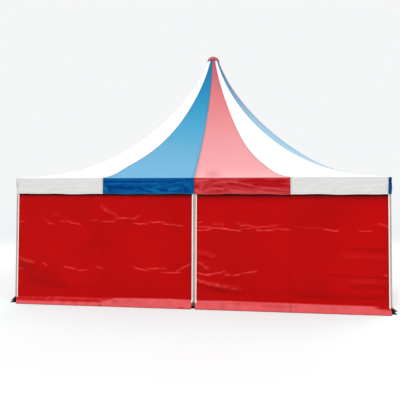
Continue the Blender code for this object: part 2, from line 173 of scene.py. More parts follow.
# Creases and folds of the walls as the front shows them, in metres: x and height at either
# end, then strength and half width. A negative strength is a hollow.
CREASES = (
    (
        (-2.96, 1.317, -2.87, 1.334, 0.6, 0.011), (-2.52, 1.365, -2.45, 1.357, 0.35, 0.011),
        (-2.45, 1.311, -2.35, 1.285, 0.8, 0.011), (-2.23, 1.339, -2.15, 1.335, 0.5, 0.011),
        (-2.11, 1.343, -2.02, 1.295, 1.0, 0.011), (-2.00, 1.298, -1.89, 1.280, 0.6, 0.011),
        (-1.69, 1.350, -1.61, 1.354, 0.5, 0.011), (-1.50, 1.329, -1.32, 1.342, 0.8, 0.011),
        (-1.54, 1.630, -1.45, 1.500, 0.45, 0.020), (-1.50, 1.545, -1.24, 1.415, 0.8, 0.020),
        (-1.27, 1.388, -1.02, 1.389, 0.9, 0.011), (-0.97, 1.382, -0.90, 1.431, 0.6, 0.011),
        (-0.95, 1.304, -0.77, 1.306, 0.8, 0.011), (-0.72, 1.335, -0.51, 1.337, 0.9, 0.011),
        (-0.47, 1.305, -0.23, 1.276, 0.9, 0.011), (-2.38, 1.437, -2.24, 1.455, 0.35, 0.024),
        (-3.02, 0.738, -2.66, 0.632, 1.2, 0.020), (-2.96, 0.540, -2.88, 0.545, 0.7, 0.011),
        (-2.51, 0.643, -2.46, 0.611, 0.8, 0.011), (-2.14, 0.585, -2.01, 0.562, 1.0, 0.011),
        (-2.01, 0.562, -1.89, 0.533, 0.4, 0.011), (-1.89, 0.530, -1.77, 0.549, 0.6, 0.011),
        (-1.60, 0.599, -1.51, 0.572, 0.8, 0.011), (-0.98, 0.609, -0.78, 0.549, 0.9, 0.011),
        (-0.73, 0.582, -0.50, 0.587, 0.9, 0.011), (-0.49, 0.524, -0.26, 0.529, 0.8, 0.011),
        (-0.26, 0.561, -0.07, 0.666, 0.9, 0.011), (-2.95, 0.701, -2.40, 0.448, 0.9, 0.055),
        (-2.40, 0.448, -2.12, 0.373, 0.5, 0.055), (-3.00, 0.605, -2.38, 0.470, -0.5, 0.028),
        (-2.90, 0.360, -2.10, 0.235, -0.6, 0.045),
        (-2.23, 0.256, -1.54, 0.225, -0.5, 0.055)),
    (
        (0.06, 1.271, 0.23, 1.272, 0.8, 0.011), (0.06, 1.215, 0.23, 1.217, 1.0, 0.011),
        (0.05, 1.334, 0.12, 1.339, 0.5, 0.011), (0.28, 1.296, 0.49, 1.301, 0.6, 0.024),
        (0.24, 1.245, 0.49, 1.239, 0.9, 0.011), (0.49, 1.229, 0.71, 1.200, 0.9, 0.011),
        (0.65, 1.347, 0.77, 1.285, 0.4, 0.024), (0.74, 1.282, 0.85, 1.299, 0.6, 0.011),
        (0.85, 1.299, 0.97, 1.265, 0.6, 0.011), (0.97, 1.265, 1.11, 1.282, 0.4, 0.011),
        (1.11, 1.282, 1.30, 1.306, 0.5, 0.011), (0.74, 1.230, 0.99, 1.244, 0.4, 0.011),
        (1.02, 1.218, 1.24, 1.220, 1.0, 0.011), (1.25, 1.254, 1.47, 1.235, 0.6, 0.011),
        (1.66, 1.266, 1.98, 1.270, 0.25, 0.011), (2.04, 1.246, 2.20, 1.226, 1.1, 0.011),
        (2.56, 1.226, 2.70, 1.228, 1.0, 0.011), (2.83, 1.330, 2.95, 1.286, 1.0, 0.011),
        (0.47, 1.055, 0.55, 1.048, 0.4, 0.011), (0.00, 0.878, 0.36, 0.792, 0.9, 0.020),
        (0.02, 0.735, 0.24, 0.590, 0.9, 0.020), (0.05, 0.539, 0.22, 0.501, 1.0, 0.011),
        (0.22, 0.518, 0.47, 0.566, 1.0, 0.011), (0.47, 0.566, 0.54, 0.531, 0.6, 0.011),
        (0.52, 0.512, 0.70, 0.523, 0.9, 0.011), (0.75, 0.533, 0.95, 0.575, 0.8, 0.011),
        (-0.06, 0.448, 0.50, 0.308, 1.5, 0.020), (0.28, 0.350, 0.76, 0.285, 1.1, 0.020),
        (0.57, 0.298, 1.07, 0.265, 0.4, 0.055),
        (2.90, 0.562, 2.96, 0.558, 0.9, 0.011), (0.05, 0.237, 1.52, 0.217, -0.6, 0.055),
        (2.35, 0.945, 3.05, 0.915, -1.1, 0.026), (2.25, 0.846, 2.97, 0.824, 0.22, 0.030),
        (2.16, 0.545, 3.05, 0.505, -1.3, 0.018), (2.35, 0.470, 2.98, 0.449, 0.22, 0.026),
        (2.38, 0.385, 3.05, 0.358, -0.7, 0.026), (1.50, 0.196, 2.98, 0.205, -2.0, 0.030)),
)
CREASE_HEIGHT = 0.0045
SHARP_UNDER = 0.02           # half width under which a crease is sharp
BROAD_FROM = 0.04            # and from which a fold is broad: twice as high, and with no painted highlight
# How far a crease strays, its drawn width by the stated one, its upper flank by its lower one,
# and how much painted highlight it has on its crest and above it
SHARP_CREASE = (0.0034, 0.50, 1.7, 0.68, 0.06)
SOFT_CREASE = (0.007, 1.00, 1.4, 0.26, 0.00)
SHARP_BOW = (-0.004, 0.010)  # range of a sharp crease's bow
SHARP_LONGER = 0.20          # share that a sharp crease is drawn longer at each end
CREASE_JAG_EVERY = 0.04
CREASE_SHADE = 0.45           # painted shade just under a crease
# Painted shade in a hollow
HOLLOW_DARK = 0.7
# Beside a crease, by its drawn half width: how far below it the line of painted shade lies and
# how wide that is, then the same for the band of painted highlight above it
SHADE_LINE = (2.4, 1.6)
LIGHT_BAND = (1.5, 3.0)
LIGHT_RANGE = (0.25, 1.2)     # painted highlight comes and goes along a crease, within this

# Height at which the wall turns out into its skirt, along the front, and the share of the way
# out from which the skirt is pale, partly chalky wear and partly painted light where it faces the sky
FOLD_AT = (-2.98, -2.57, -1.45, -1.28, -0.39, -0.02, 0.02, 0.57, 1.34, 2.09, 2.83, 2.98)
FOLD_HEIGHT = (0.082, 0.086, 0.096, 0.104, 0.117, 0.108, 0.104, 0.1125, 0.1055, 0.0965, 0.0955,
               0.095)
PALE_AT = (-2.98, -1.52, -1.30, 2.98)
PALE_FROM = (0.54, 0.50, 0.02, 0.02)
FOLD_ROUND = 0.022           # how far up and out from the fold the cloth bends round it
HEM_LIFT = 0.002             # the skirt's hem stands off the ground

# How much painted shade darkens a wall just under the valance, along the front. Below 0 it is painted
# lighter.
SHADE_AT = (-3.0, -2.3, -1.4, -0.8, -0.2, 0.2, 3.0)
SHADE = (-0.8, -0.3, 0.45, 0.3, 1.8, 1.1, 1.7)
SHADE_HEIGHTS = (1.715, 1.76)     # from nothing to full
# A softer band of painted shade below it, from the front's left part on: strength, height, half width
SHADE_BAND = (1.3, 1.722, 0.038)
# Strength of painted shade in hollows and beside the posts
HOLLOW_SHADE = 1.5
POST_SHADE = 1.3
HEM_SHADE = (4.4, 1.6)       # painted shadow along the hem: mean, and how much it varies along it

# Streaks of painted highlight and painted shadow on the skirts, in metres: x and distance down
# the skirt at either end, then how much paler they are, below 0 for darker, and half width
SKIRT_MARKS = (
    (
        (-2.684, 0.005, -2.684, 0.060, 0.25, 0.010), (-2.44, 0.008, -2.40, 0.004, 0.4, 0.008),
        (-2.45, 0.046, -2.41, 0.048, 0.5, 0.009), (-2.33, 0.002, -2.13, 0.012, 0.22, 0.010),
        (-2.13, 0.014, -1.74, 0.018, 0.22, 0.010), (-1.70, 0.008, -1.67, 0.024, 0.35, 0.009),
        (-2.36, 0.066, -2.21, 0.060, 0.35, 0.008), (-1.54, 0.030, -1.41, 0.062, 0.7, 0.010),
        (-1.33, 0.055, -1.23, 0.075, -0.45, 0.012), (-1.11, 0.028, -0.95, 0.045, -0.4, 0.010),
        (-0.141, 0.046, -0.045, 0.032, -0.6, 0.007), (-0.23, 0.147, -0.14, 0.150, -1.5, 0.008),
        (-1.51, 0.147, -1.46, 0.150, -1.5, 0.008)),
    (
        (0.45, 0.042, 1.05, 0.066, -0.35, 0.008), (1.05, 0.066, 1.44, 0.072, -0.7, 0.009),
        (0.60, 0.022, 1.44, 0.034, -0.3, 0.020), (1.45, 0.055, 1.53, 0.058, -0.6, 0.007),
        (2.72, 0.022, 3.04, 0.050, -0.9, 0.022), (2.78, 0.004, 3.04, 0.015, -0.9, 0.018)),
)

# Camera of the photograph, fitted to the posts, the eave and the roof's outline
CAMERA_PLACE = (0.8337, -8.3736, 1.6834)
CAMERA_TURN = 0.0946         # radians, as the next two
CAMERA_TILT = 0.0238
CAMERA_ROLL = 0.0025
FOCAL_PIXELS = 341.35
CENTRE_PIXEL = (214.57, 192.41)
IMAGE_SIDE = 400

# Numbers of a Mix node's sockets, several of which share a name
MIX_FACTOR = 0
MIX_VECTORS = (4, 5)
MIX_VECTOR_OUT = 1
MIX_COLOURS = (6, 7)
MIX_COLOUR_OUT = 2

# Scales of patterns. A noise's patches are about 1 / scale metres across, and the bands of a
# wave texture are 2 pi / 20 / scale metres apart.
CLOUD_SCALE = 1.3            # 770 mm, drift of the light that comes through the cloth
DENT_SCALE = 5.0             # 200 mm, soft dents of a stretched sheet
DUST_SCALE = 90.0            # 11 mm, specks of dust and wear
WEAVE_SCALE = 45.0           # 7 mm, while real threads are 1.1 mm apart, too fine to show
DIE_LINE_SCALE = 140.0       # 7 mm, while an extrusion's real lines are under 1 mm apart
MOTTLE_SCALE = 60.0          # 17 mm, spangle of zinc, and unevenness of brushed enamel
BLOTCH_SCALE = 7.0           # 140 mm, blotches of tone on metal
PAPER_SCALE = 0.6            # 1.7 m, faint cloudiness of the floor


# Small helpers

def linear(code):
    """sRGB hex colour as linear red, green, blue and 1."""
    parts = np.array([int(code[i:i + 2], 16) for i in (1, 3, 5)]) / 255
    low = parts / 12.92
    high = ((parts + 0.055) / 1.055) ** 2.4
    return (*np.where(parts <= 0.04045, low, high).tolist(), 1.0)


def smooth(low, high, value):
    """0 below low, 1 above high, and 3t^2 - 2t^3 between them."""
    t = np.clip((value - low) / (high - low), 0, 1)
    return t * t * (3 - 2 * t)


def waves(seed, across, along, count, shortest, longest):
    """Sum of sine waves of seeded direction, length and phase, divided by 1.4 times the root of
    their count, which keeps it within about -1 to 1."""
    rng = np.random.default_rng(seed)
    total = np.zeros(np.broadcast(across, along).shape)
    for _ in range(count):
        length = rng.uniform(shortest, longest)
        angle = rng.uniform(0, math.pi)
        phase = rng.uniform(0, 2 * math.pi)
        run = across * math.cos(angle) + along * math.sin(angle)
        total += np.sin(2 * math.pi * run / length + phase)
    return total / count ** 0.5 / 1.4


def ridge(across, along, start, end, half_width, bow=0.0, jag=(0.0, 0.0), other_side=1.0):
    """Crest along a line: exp(-(d / half_width)^2), d the distance to the line, times the root
    of 7 t (1 - t), at most 1, which tapers it to nothing at both ends. bow bends it at its
    middle and jag holds offsets at even steps along it. Left of the line, with across to the
    right and along upwards, the crest is other_side times as wide."""
    run = np.subtract(end, start)
    length = math.hypot(*run)
    run = run / length
    to_x = across - start[0]
    to_y = along - start[1]
    on = (to_x * run[0] + to_y * run[1]) / length
    off = to_x * run[1] - to_y * run[0] + bow * 4 * on * (1 - on)
    off = off + np.interp(on, np.linspace(0, 1, len(jag)), jag)
    width = half_width * np.where(off < 0, other_side, 1.0)
    return np.exp(-(off / width) ** 2) * np.sqrt(np.clip(7 * on * (1 - on), 0, 1))


def crumple(seed, across, along, stretch, count):
    """Facets with sharp edges: distance to the nearest of seeded points, in a plane drawn out
    along the cloth, over its mean, less 1, within -1 to 1."""
    rng = np.random.default_rng(seed)
    lowest = (across.min(), along.min())
    highest = (across.max(), along.max())
    spots = rng.uniform(lowest, highest, (count, 2))
    gap_x = (across[..., None] - spots[:, 0]) / stretch
    gap_y = along[..., None] - spots[:, 1]
    gap = np.hypot(gap_x, gap_y).min(-1)
    return np.clip(gap / gap.mean() - 1, -1, 1)


def turned(points, side):
    """Points turned about Z by a number of quarter turns."""
    c = math.cos(side * math.pi / 2)
    s = math.sin(side * math.pi / 2)
    x, y, z = points[..., 0], points[..., 1], points[..., 2]
    return np.stack([x * c - y * s, x * s + y * c, z], -1)


def surface(name, points, finish, uv=None, marks=None, thick=0.0, round_it=False, flip=False):
    """Grid of points, rows by columns, as one mesh that rides on the frame.

    Each four neighbours make a face. With round_it the last column joins the first, and flip
    turns the faces over. uv is the place on the flat cloth in metres, marks are extra numbers
    per point.
    """
    rows, columns = points.shape[:2]
    index = np.arange(rows * columns).reshape(rows, columns)
    if round_it:
        index = np.concatenate([index, index[:, :1]], 1)
    corners = [index[:-1, :-1], index[1:, :-1], index[1:, 1:], index[:-1, 1:]]
    if flip:
        corners.reverse()
    faces = np.stack(corners, -1).reshape(-1, 4)
    mesh = bpy.data.meshes.new(name)
    mesh.from_pydata(points.reshape(-1, 3), [], faces)
    if uv is not None:
        layer = mesh.uv_layers.new(name="Cloth")
        layer.data.foreach_set("uv", uv.reshape(-1, 2)[faces.ravel()].astype(np.float32).ravel())
    for label, values in (marks or {}).items():
        mark = mesh.attributes.new(label, "FLOAT", "POINT")
        every = np.broadcast_to(values, (rows, columns)).astype(np.float32)
        mark.data.foreach_set("value", every.ravel())
    mesh.materials.append(finish)
    mesh.shade_smooth()
    made = bpy.data.objects.new(name, mesh)
    bpy.context.collection.objects.link(made)
    if thick:
        solid = made.modifiers.new("Thickness", "SOLIDIFY")
        solid.thickness = thick
        solid.offset = -1
    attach(made, "root")
    return made


def normals(points):
    """Unit normals of a grid: cross product of its differences down and across."""
    down = np.gradient(points, axis=0)
    right = np.gradient(points, axis=1)
    cross = np.cross(right, down)
    return -cross / np.maximum(np.linalg.norm(cross, axis=-1, keepdims=True), 1e-12)


def measure(points):
    """Area of a grid, as the two triangles of every face, and its arc lengths down and across
    from its first row and column."""
    right = np.linalg.norm(np.diff(points, axis=1), axis=-1)
    down = np.linalg.norm(np.diff(points, axis=0), axis=-1)
    across = np.concatenate([np.zeros((len(points), 1)), np.cumsum(right, 1)], 1)
    along = np.concatenate([np.zeros((1, points.shape[1])), np.cumsum(down, 0)], 0)
    a = points[1:, :-1] - points[:-1, :-1]
    b = points[:-1, 1:] - points[:-1, :-1]
    c = points[1:, 1:] - points[:-1, :-1]
    twice = np.linalg.norm(np.cross(a, c), axis=-1) + np.linalg.norm(np.cross(b, c), axis=-1)
    return float(twice.sum() / 2), along, across


# Materials

def node(tree, kind, settings=None, links=None):
    """Add a node. A setting is a property, or a default for the input of that name or number,
    and a link joins an input to another node's output."""
    made = tree.nodes.new(kind)
    for key, value in (settings or {}).items():
        if isinstance(key, str) and hasattr(made, key):
            setattr(made, key, value)
        else:
            made.inputs[key].default_value = value
    for key, output in (links or {}).items():
        tree.links.new(output, made.inputs[key])
    return made


def new_material(name):
    """Material without nodes, and its node tree."""
    made = bpy.data.materials.new(name)
    made.use_nodes = True
    made.node_tree.nodes.clear()
    return made, made.node_tree


def coated_membrane(name, shades, roughness, gloss, drift=0.10, painted_shading=0.0, tints=(), shadow=None):
    """Polyester cloth coated with PVC and lacquered: satin, smooth, a faint print of the weave.

    shades are (height, colour) stops up the piece: painted light and shade, such as the light
    that comes through a roof or the shade under a valance, and drift is how far they wander.
    Welds are double and so a little deeper in colour; the weld mark also carries painted shade.
    The painted shading argument is how much crests are painted lighter and hollows darker.
    tints are (attribute, colour) pairs mixed in by the attribute: painted highlights and sheen,
    and a skirt's pale, partly chalky and partly painted light. shadow is a painted shadow: its
    centre, radius, strength and colour.
    """
    made, tree = new_material(name)
    place = node(tree, "ShaderNodeTexCoord").outputs["Object"]
    apart = node(tree, "ShaderNodeSeparateXYZ", {}, {0: place})

    # Colour up the piece, where it holds painted light and shade
    low = shades[0][0]
    span = max(shades[-1][0] - low, 0.01)
    share = node(tree, "ShaderNodeMapRange", {"From Min": low, "From Max": low + span},
                 {"Value": apart.outputs["Z"]})
    cloud = node(tree, "ShaderNodeTexNoise",
                 {"Scale": CLOUD_SCALE, "Detail": 4.0, "Roughness": 0.55}, {"Vector": place})
    shift = node(tree, "ShaderNodeMath", {"operation": "MULTIPLY_ADD", 1: drift, 2: -drift / 2},
                 {0: cloud.outputs["Fac"]})
    height = node(tree, "ShaderNodeMath", {"operation": "ADD"},
                  {0: share.outputs["Result"], 1: shift.outputs[0]})
    ramp = node(tree, "ShaderNodeValToRGB", {}, {"Fac": height.outputs[0]})
    stops = ramp.color_ramp.elements
    while len(stops) < len(shades):
        stops.new(0.5)
    for stop, (level, colour) in zip(stops, shades):
        stop.position = (level - low) / span
        stop.color = linear(colour)
    colour = ramp.outputs["Color"]
    for label, tint in tints:
        amount = node(tree, "ShaderNodeAttribute", {"attribute_name": label})
        mixed = node(tree, "ShaderNodeMix", {"data_type": "RGBA", MIX_COLOURS[1]: linear(tint)},
                     {MIX_FACTOR: amount.outputs["Fac"], MIX_COLOURS[0]: colour})
        colour = mixed.outputs[MIX_COLOUR_OUT]

    # Tone: deeper at welds and in painted shade, speckled, painted lighter on crests and darker in
    # hollows
    weld_and_shade = node(tree, "ShaderNodeAttribute", {"attribute_name": "weld_and_shade"})
    dust = node(tree, "ShaderNodeTexNoise", {"Scale": DUST_SCALE, "Detail": 2.0}, {"Vector": place})
    grime = node(tree, "ShaderNodeMapRange",
                 {"From Min": 0.35, "From Max": 0.75, "To Min": 0.97, "To Max": 1.02},
                 {"Value": dust.outputs["Fac"]})
    deep = node(tree, "ShaderNodeMath", {"operation": "MULTIPLY_ADD", 1: -WELD_DEEPER, 2: 1.0},
                {0: weld_and_shade.outputs["Fac"]})
    tone = node(tree, "ShaderNodeMath", {"operation": "MULTIPLY"},
                {0: deep.outputs[0], 1: grime.outputs["Result"]})
    if painted_shading:
        fold = node(tree, "ShaderNodeAttribute", {"attribute_name": "painted_shading"})
        lift = node(tree, "ShaderNodeMath", {"operation": "MULTIPLY_ADD", 1: painted_shading, 2: 1.0},
                    {0: fold.outputs["Fac"]})
        tone = node(tree, "ShaderNodeMath", {"operation": "MULTIPLY"},
                    {0: tone.outputs[0], 1: lift.outputs[0]})
    shaded = node(tree, "ShaderNodeVectorMath", {"operation": "SCALE"},
                  {0: colour, "Scale": tone.outputs[0]})
    colour = shaded.outputs["Vector"]
    # A painted shadow: a soft darker spot
    if shadow:
        centre, radius, strength, shade = shadow
        away = node(tree, "ShaderNodeVectorMath", {"operation": "DISTANCE", 1: centre}, {0: place})
        near = node(tree, "ShaderNodeMapRange",
                    {"interpolation_type": "SMOOTHSTEP", "From Min": 0.0, "From Max": radius,
                     "To Min": strength, "To Max": 0.0}, {"Value": away.outputs["Value"]})
        spot = node(tree, "ShaderNodeMix", {"data_type": "RGBA", MIX_COLOURS[1]: linear(shade)},
                    {MIX_FACTOR: near.outputs["Result"], MIX_COLOURS[0]: colour})
        colour = spot.outputs[MIX_COLOUR_OUT]

    # Print of the weave, soft dents, and a gloss that varies with them
    cloth = node(tree, "ShaderNodeUVMap", {"uv_map": "Cloth"})
    threads = [node(tree, "ShaderNodeTexWave",
                    {"bands_direction": way, "Scale": WEAVE_SCALE, "Distortion": 0.4},
                    {"Vector": cloth.outputs["UV"]}).outputs["Fac"] for way in ("X", "Y")]
    weave = node(tree, "ShaderNodeMath", {"operation": "MULTIPLY"}, {0: threads[0], 1: threads[1]})
    print_through = node(tree, "ShaderNodeBump", {"Strength": 0.12, "Distance": 0.0003},
                         {"Height": weave.outputs[0]})
    dents = node(tree, "ShaderNodeTexNoise",
                 {"Scale": DENT_SCALE, "Detail": 5.0, "Roughness": 0.6}, {"Vector": place})
    bump = node(tree, "ShaderNodeBump", {"Strength": 0.25, "Distance": 0.012},
                {"Height": dents.outputs["Fac"], "Normal": print_through.outputs["Normal"]})
    rough = node(tree, "ShaderNodeMapRange",
                 {"From Min": 0.3, "From Max": 0.7, "To Min": roughness - 0.05,
                  "To Max": roughness + 0.07}, {"Value": dents.outputs["Fac"]})
    shader = node(tree, "ShaderNodeBsdfPrincipled", {"IOR": 1.5, "Specular IOR Level": gloss},
                  {"Base Color": colour, "Roughness": rough.outputs["Result"],
                   "Normal": bump.outputs["Normal"]})
    node(tree, "ShaderNodeOutputMaterial", {}, {"Surface": shader.outputs["BSDF"]})
    return made


def plain_metal(name, colour, metallic, roughness, grain, length_ways, gloss=0.5):
    """Metal with fine lines along Z where length_ways is long, blotches of tone, dull spots."""
    made, tree = new_material(name)
    place = node(tree, "ShaderNodeTexCoord").outputs["Object"]
    stretch = node(tree, "ShaderNodeMapping", {"Scale": (1.0, 1.0, 1.0 / length_ways)},
                   {"Vector": place})
    lines = node(tree, "ShaderNodeTexNoise", {"Scale": grain, "Detail": 6.0, "Roughness": 0.6},
                 {"Vector": stretch.outputs["Vector"]})
    patches = node(tree, "ShaderNodeTexNoise", {"Scale": BLOTCH_SCALE, "Detail": 3.0},
                   {"Vector": place})
    both = node(tree, "ShaderNodeMath", {"operation": "ADD"},
                {0: lines.outputs["Fac"], 1: patches.outputs["Fac"]})
    tone = node(tree, "ShaderNodeMapRange",
                {"From Min": 0.7, "From Max": 1.3, "To Min": 0.82, "To Max": 1.12},
                {"Value": both.outputs[0]})
    shaded = node(tree, "ShaderNodeVectorMath", {"operation": "SCALE", 0: linear(colour)[:3]},
                  {"Scale": tone.outputs["Result"]})
    rough = node(tree, "ShaderNodeMapRange",
                 {"From Min": 0.3, "From Max": 0.7, "To Min": roughness - 0.06,
                  "To Max": roughness + 0.08}, {"Value": lines.outputs["Fac"]})
    bump = node(tree, "ShaderNodeBump", {"Strength": 0.15, "Distance": 0.0004},
                {"Height": lines.outputs["Fac"]})
    shader = node(tree, "ShaderNodeBsdfPrincipled", {"Metallic": metallic, "Specular IOR Level": gloss},
                  {"Base Color": shaded.outputs["Vector"], "Roughness": rough.outputs["Result"],
                   "Normal": bump.outputs["Normal"]})
    node(tree, "ShaderNodeOutputMaterial", {}, {"Surface": shader.outputs["BSDF"]})
    return made


# Roof: polyester cloth, knife coated with PVC on both faces and lacquered. It gives a satin,
# even face. Blue and red are painted pale low down and deeper towards the steep peak: painted
# light for the daylight that comes through the cloth and for the sky's sheen on it, and paler
# along the hips as painted sheen. A painted shadow of the mast's foot darkens a spot on the
# front red gore.
ROOF = {
    "white": coated_membrane(
        "pvc_coated_polyester_white_roof", ((2.0, "#F6F6F6"), (5.2, "#F2F3F4")), 0.42, 0.12),
    "blue": coated_membrane(
        "pvc_coated_polyester_blue_roof",
        ((2.0, "#6BA9CD"), (2.25, "#69A5C7"), (2.7, "#5B9FC0"), (3.2, "#4298BE"), (3.8, "#288BB3"),
         (4.6, "#1178A8"), (5.1, "#166696")),
        0.42, 0.05, tints=(("hip", "#BCD0DA"),)),
    "red": coated_membrane(
        "pvc_coated_polyester_red_roof",
        ((2.0, "#E6A8A8"), (2.25, "#E29799"), (2.7, "#DC8F93"), (3.2, "#D88487"), (3.8, "#D3787A"),
         (4.6, "#C4656D"), (5.1, "#B15258")),
        0.42, 0.10, tints=(("hip", "#E9C3C4"),), shadow=((0.285, -2.92, 2.10), 0.20, 0.75, "#D07C82")),
}
# Valances: the same cloth with no light behind it. It gives the coat's full, deep colour, with
# painted highlights where folds and the hem would catch the sky, and painted shade in the
# hollows and on the end that wraps a corner.
VALANCE = {
    "white": coated_membrane(
        "pvc_coated_polyester_white_valance", ((1.7, "#C3C3C1"), (2.1, "#C3C3C1")), 0.36, 0.12,
        tints=(("crest", "#F8F4F2"),)),
    "blue": coated_membrane(
        "pvc_coated_polyester_blue_valance", ((1.7, "#003676"), (2.1, "#003879")), 0.34, 0.025,
        tints=(("crest", "#0569A2"),)),
    "red": coated_membrane(
        "pvc_coated_polyester_red_valance", ((1.7, "#AD1017"), (2.1, "#A90E15")), 0.34, 0.03,
        tints=(("crest", "#D24E4F"),)),
}
# Walls: a thinner cloth of the same make, stored folded. It gives an even, saturated red, with
# painted highlights as pale pink lines along the creases, a skirt painted pale, partly chalky
# from the ground and partly painted light where it faces the sky, and painted shade near black
# just under the valance, where the valance keeps the sky off.
WALL_RED = coated_membrane(
    "pvc_coated_polyester_red_wall",
    ((0.0, "#B20304"), (0.9, "#B40304"), (1.715, "#B20304"), (1.738, "#A00506"), (1.752, "#840406"),
     (1.766, "#5E0306"), (1.784, "#3C0205")),
    0.38, 0.05, drift=0.0, painted_shading=0.16, tints=(("skirt", "#D25457"), ("crease", "#FF4C4A")))
# Keder tape: PVC foil welded round a cord, which gives a clean white, duller than the roof. Its
# warm pink tint is painted light, the red that the walls throw on it.
TAPE_WHITE = coated_membrane(
    "pvc_keder_tape_white", ((0.0, "#FBECE5"), (2.0, "#FCEFE9")), 0.45, 0.1)
# Cap: the same coated cloth as the roof, sewn to a dome. It gives a dull crimson, lighter
# towards the top.
CAP_RED = coated_membrane(
    "pvc_coated_polyester_crimson_cap", ((5.10, "#AC4654"), (5.25, "#BC5C6A")), 0.4, 0.15)
# Posts and beams: aluminium as extruded, left in the weather. It gives a pale warm grey with
# fine lines along the profile and a broad, soft shine.
ALUMINIUM = plain_metal(
    "aluminium_mill_finish_weathered", "#B2B0A6", 0.75, 0.42, DIE_LINE_SCALE, 40.0)
# Feet: mild steel plate brushed with black enamel, which gives a near black, matt and a
# little uneven
BLACK_STEEL = plain_metal(
    "mild_steel_black_enamel", "#151515", 0.0, 0.6, MOTTLE_SCALE, 1.0, gloss=0.10)
# Mast and stays: steel dipped in zinc, which gives a dull grey with a mottled shine
ZINC_STEEL = plain_metal("steel_hot_dip_galvanised", "#9EA2A4", 0.9, 0.45, MOTTLE_SCALE, 1.0)


# Roof

def roof_half_width(rise):
    """Half width at the middle of a side: the power mean of eave and crown, by rise, filled out
    by a parabola."""
    eave = EAVE_HALF ** SAG_POWER
    crown = CROWN_RADIUS ** SAG_POWER
    return (eave - rise * (eave - crown)) ** (1 / SAG_POWER) + FULLNESS * 4 * rise * (1 - rise)


def hump(share, course):
    """share (1 - share)^course over its greatest value: 0 at both ends, 1 at 1 / (1 + course)."""
    return share * (1 - share) ** course * (1 + course) ** (1 + course) / course ** course


def roof_point(place, rise):
    """Outer roof surface. place counts gores rightwards from the middle of the front.

    A level section is a superellipse, square at the eave and round at the crown. Each point
    runs in from its place on the eave to its place on the crown, and bisection finds where
    that line, with the seams' bow, crosses the section.
    """
    side = np.round(place / GORES_PER_SIDE)
    along = place - GORES_PER_SIDE * side
    bay = 2 * EAVE_HALF / GORES_PER_SIDE
    angle = along * 2 * math.pi / GORES
    roundness = 0.5 * (1 - np.exp(-ROUNDING_RATE * np.maximum(rise, 1e-9) ** ROUNDING_POWER))
    power = 1 / np.maximum(roundness, SQUAREST)
    width = roof_half_width(rise)
    bow = SEAM_BOW * np.sin(math.pi * along / 2)
    pull = EAVE_PULL * np.sin(math.pi * along / 2)
    slip = SEAM_SLIP * np.sin(math.pi * along / 2) ** 2

    def on_line(inward):
        bend = bow * hump(inward, BOW_COURSE) + slip * hump(inward, SLIP_COURSE)
        bend = bend + pull * inward / EAVE_PULL_AT * np.exp(1 - inward / EAVE_PULL_AT)
        x = along * bay * (1 - inward) + CROWN_RADIUS * np.sin(angle) * inward - bend
        y = -EAVE_HALF * (1 - inward) - CROWN_RADIUS * np.cos(angle) * inward
        return x, y

    low = np.zeros(np.broadcast(place, rise).shape)
    high = np.ones_like(low)
    for _ in range(BISECTIONS):
        inward = (low + high) / 2
        x, y = on_line(inward)
        reach = (np.abs(x) ** power + np.abs(y) ** power) ** (1 / power)
        inside = reach < width
        high = np.where(inside, inward, high)
        low = np.where(inside, low, inward)
    x, y = on_line(high * (rise > 0))
    height = EAVE + (CROWN - EAVE) * rise + np.zeros_like(x)
    c, s = np.cos(side * math.pi / 2), np.sin(side * math.pi / 2)
    return np.stack([x * c - y * s, x * s + y * c, height], -1)


def pushed(points, out):
    """Points near the eave moved square to their side of the tent, and at a corner both ways."""
    moved = points.copy()
    moved[..., :2] *= (1 + out / EAVE_HALF)[..., None]
    return moved


GORE_COLUMNS = 21
GORE_ROWS = 66
ROW_POWER = 1.5              # gathers the rows towards the eave
BISECTIONS = 40
ROOF_WAVES = 0.0022          # height of the soft waves left in the stretched cloth
BEAD_TURN = (10, 165)        # degrees round the bead, from its top
BEAD_ROWS = 8
# Bands along the hips that are paler, a painted sheen for the sky's reflection at a grazing
# angle: strength, distances from the hip over which they fade, and heights over which they fade
HIP_SHEEN_BANDS = ((0.50, 0.10, 0.90, 3.0, 4.9), (0.40, 0.05, 0.22, 2.45, 2.80))


def make_gore(number):
    """Gore: roof_point on a fine grid, waves square to it, then the eave bead, an arc from just
    past its top, out and round to just before its foot."""
    spot = number % GORES_PER_SIDE
    columns = np.linspace(0, 1, GORE_COLUMNS)
    place = number - GORES_PER_SIDE / 2 + columns
    rise = np.linspace(1, 0, GORE_ROWS) ** ROW_POWER
    points = roof_point(place[None, :], rise[:, None])
    facing = normals(points)
    fade = (rise * (1 - rise) * 4)[:, None] * np.sin(math.pi * columns)[None, :]
    stretch = waves(number, points[..., 0] + points[..., 1], points[..., 2], 9, 0.5, 1.6) * ROOF_WAVES
    points = points + facing * (stretch * fade)[..., None]
    turn = np.radians(np.linspace(*BEAD_TURN, BEAD_ROWS))[:, None]
    bead = np.repeat(points[-1:], len(turn), 0)
    bead[..., 2] += KEDER_ROD * (np.cos(turn) - 1)
    bead = pushed(bead, KEDER_ROD * np.sin(turn) + np.zeros_like(columns))
    points = np.concatenate([points, bead])

    area, along, across = measure(points)
    wide = across[:, -1:]
    weld_and_shade = 1 - smooth(WELD * WELD_FULL, WELD, np.minimum(across, wide - across))
    if spot == 0:
        from_hip = across
    elif spot == GORES_PER_SIDE - 1:
        from_hip = wide - across
    else:
        from_hip = np.full_like(across, math.inf)
    # Painted sheen along the hips
    hip = 0
    for strength, near, far, low, high in HIP_SHEEN_BANDS:
        hip += strength * (1 - smooth(near, far, from_hip)) * (1 - smooth(low, high, points[..., 2]))
    side = SIDES[number // GORES_PER_SIDE]
    colour = GORE_COLOURS[number % len(GORE_COLOURS)]
    name = f"{side}_{spot + 1}"
    gore = surface(f"gore_{name}", points, ROOF[colour],
                   np.stack([across - wide / 2, along], -1), {"weld_and_shade": weld_and_shade, "hip": hip}, MEMBRANE)
    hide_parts(f"roof_{name}")


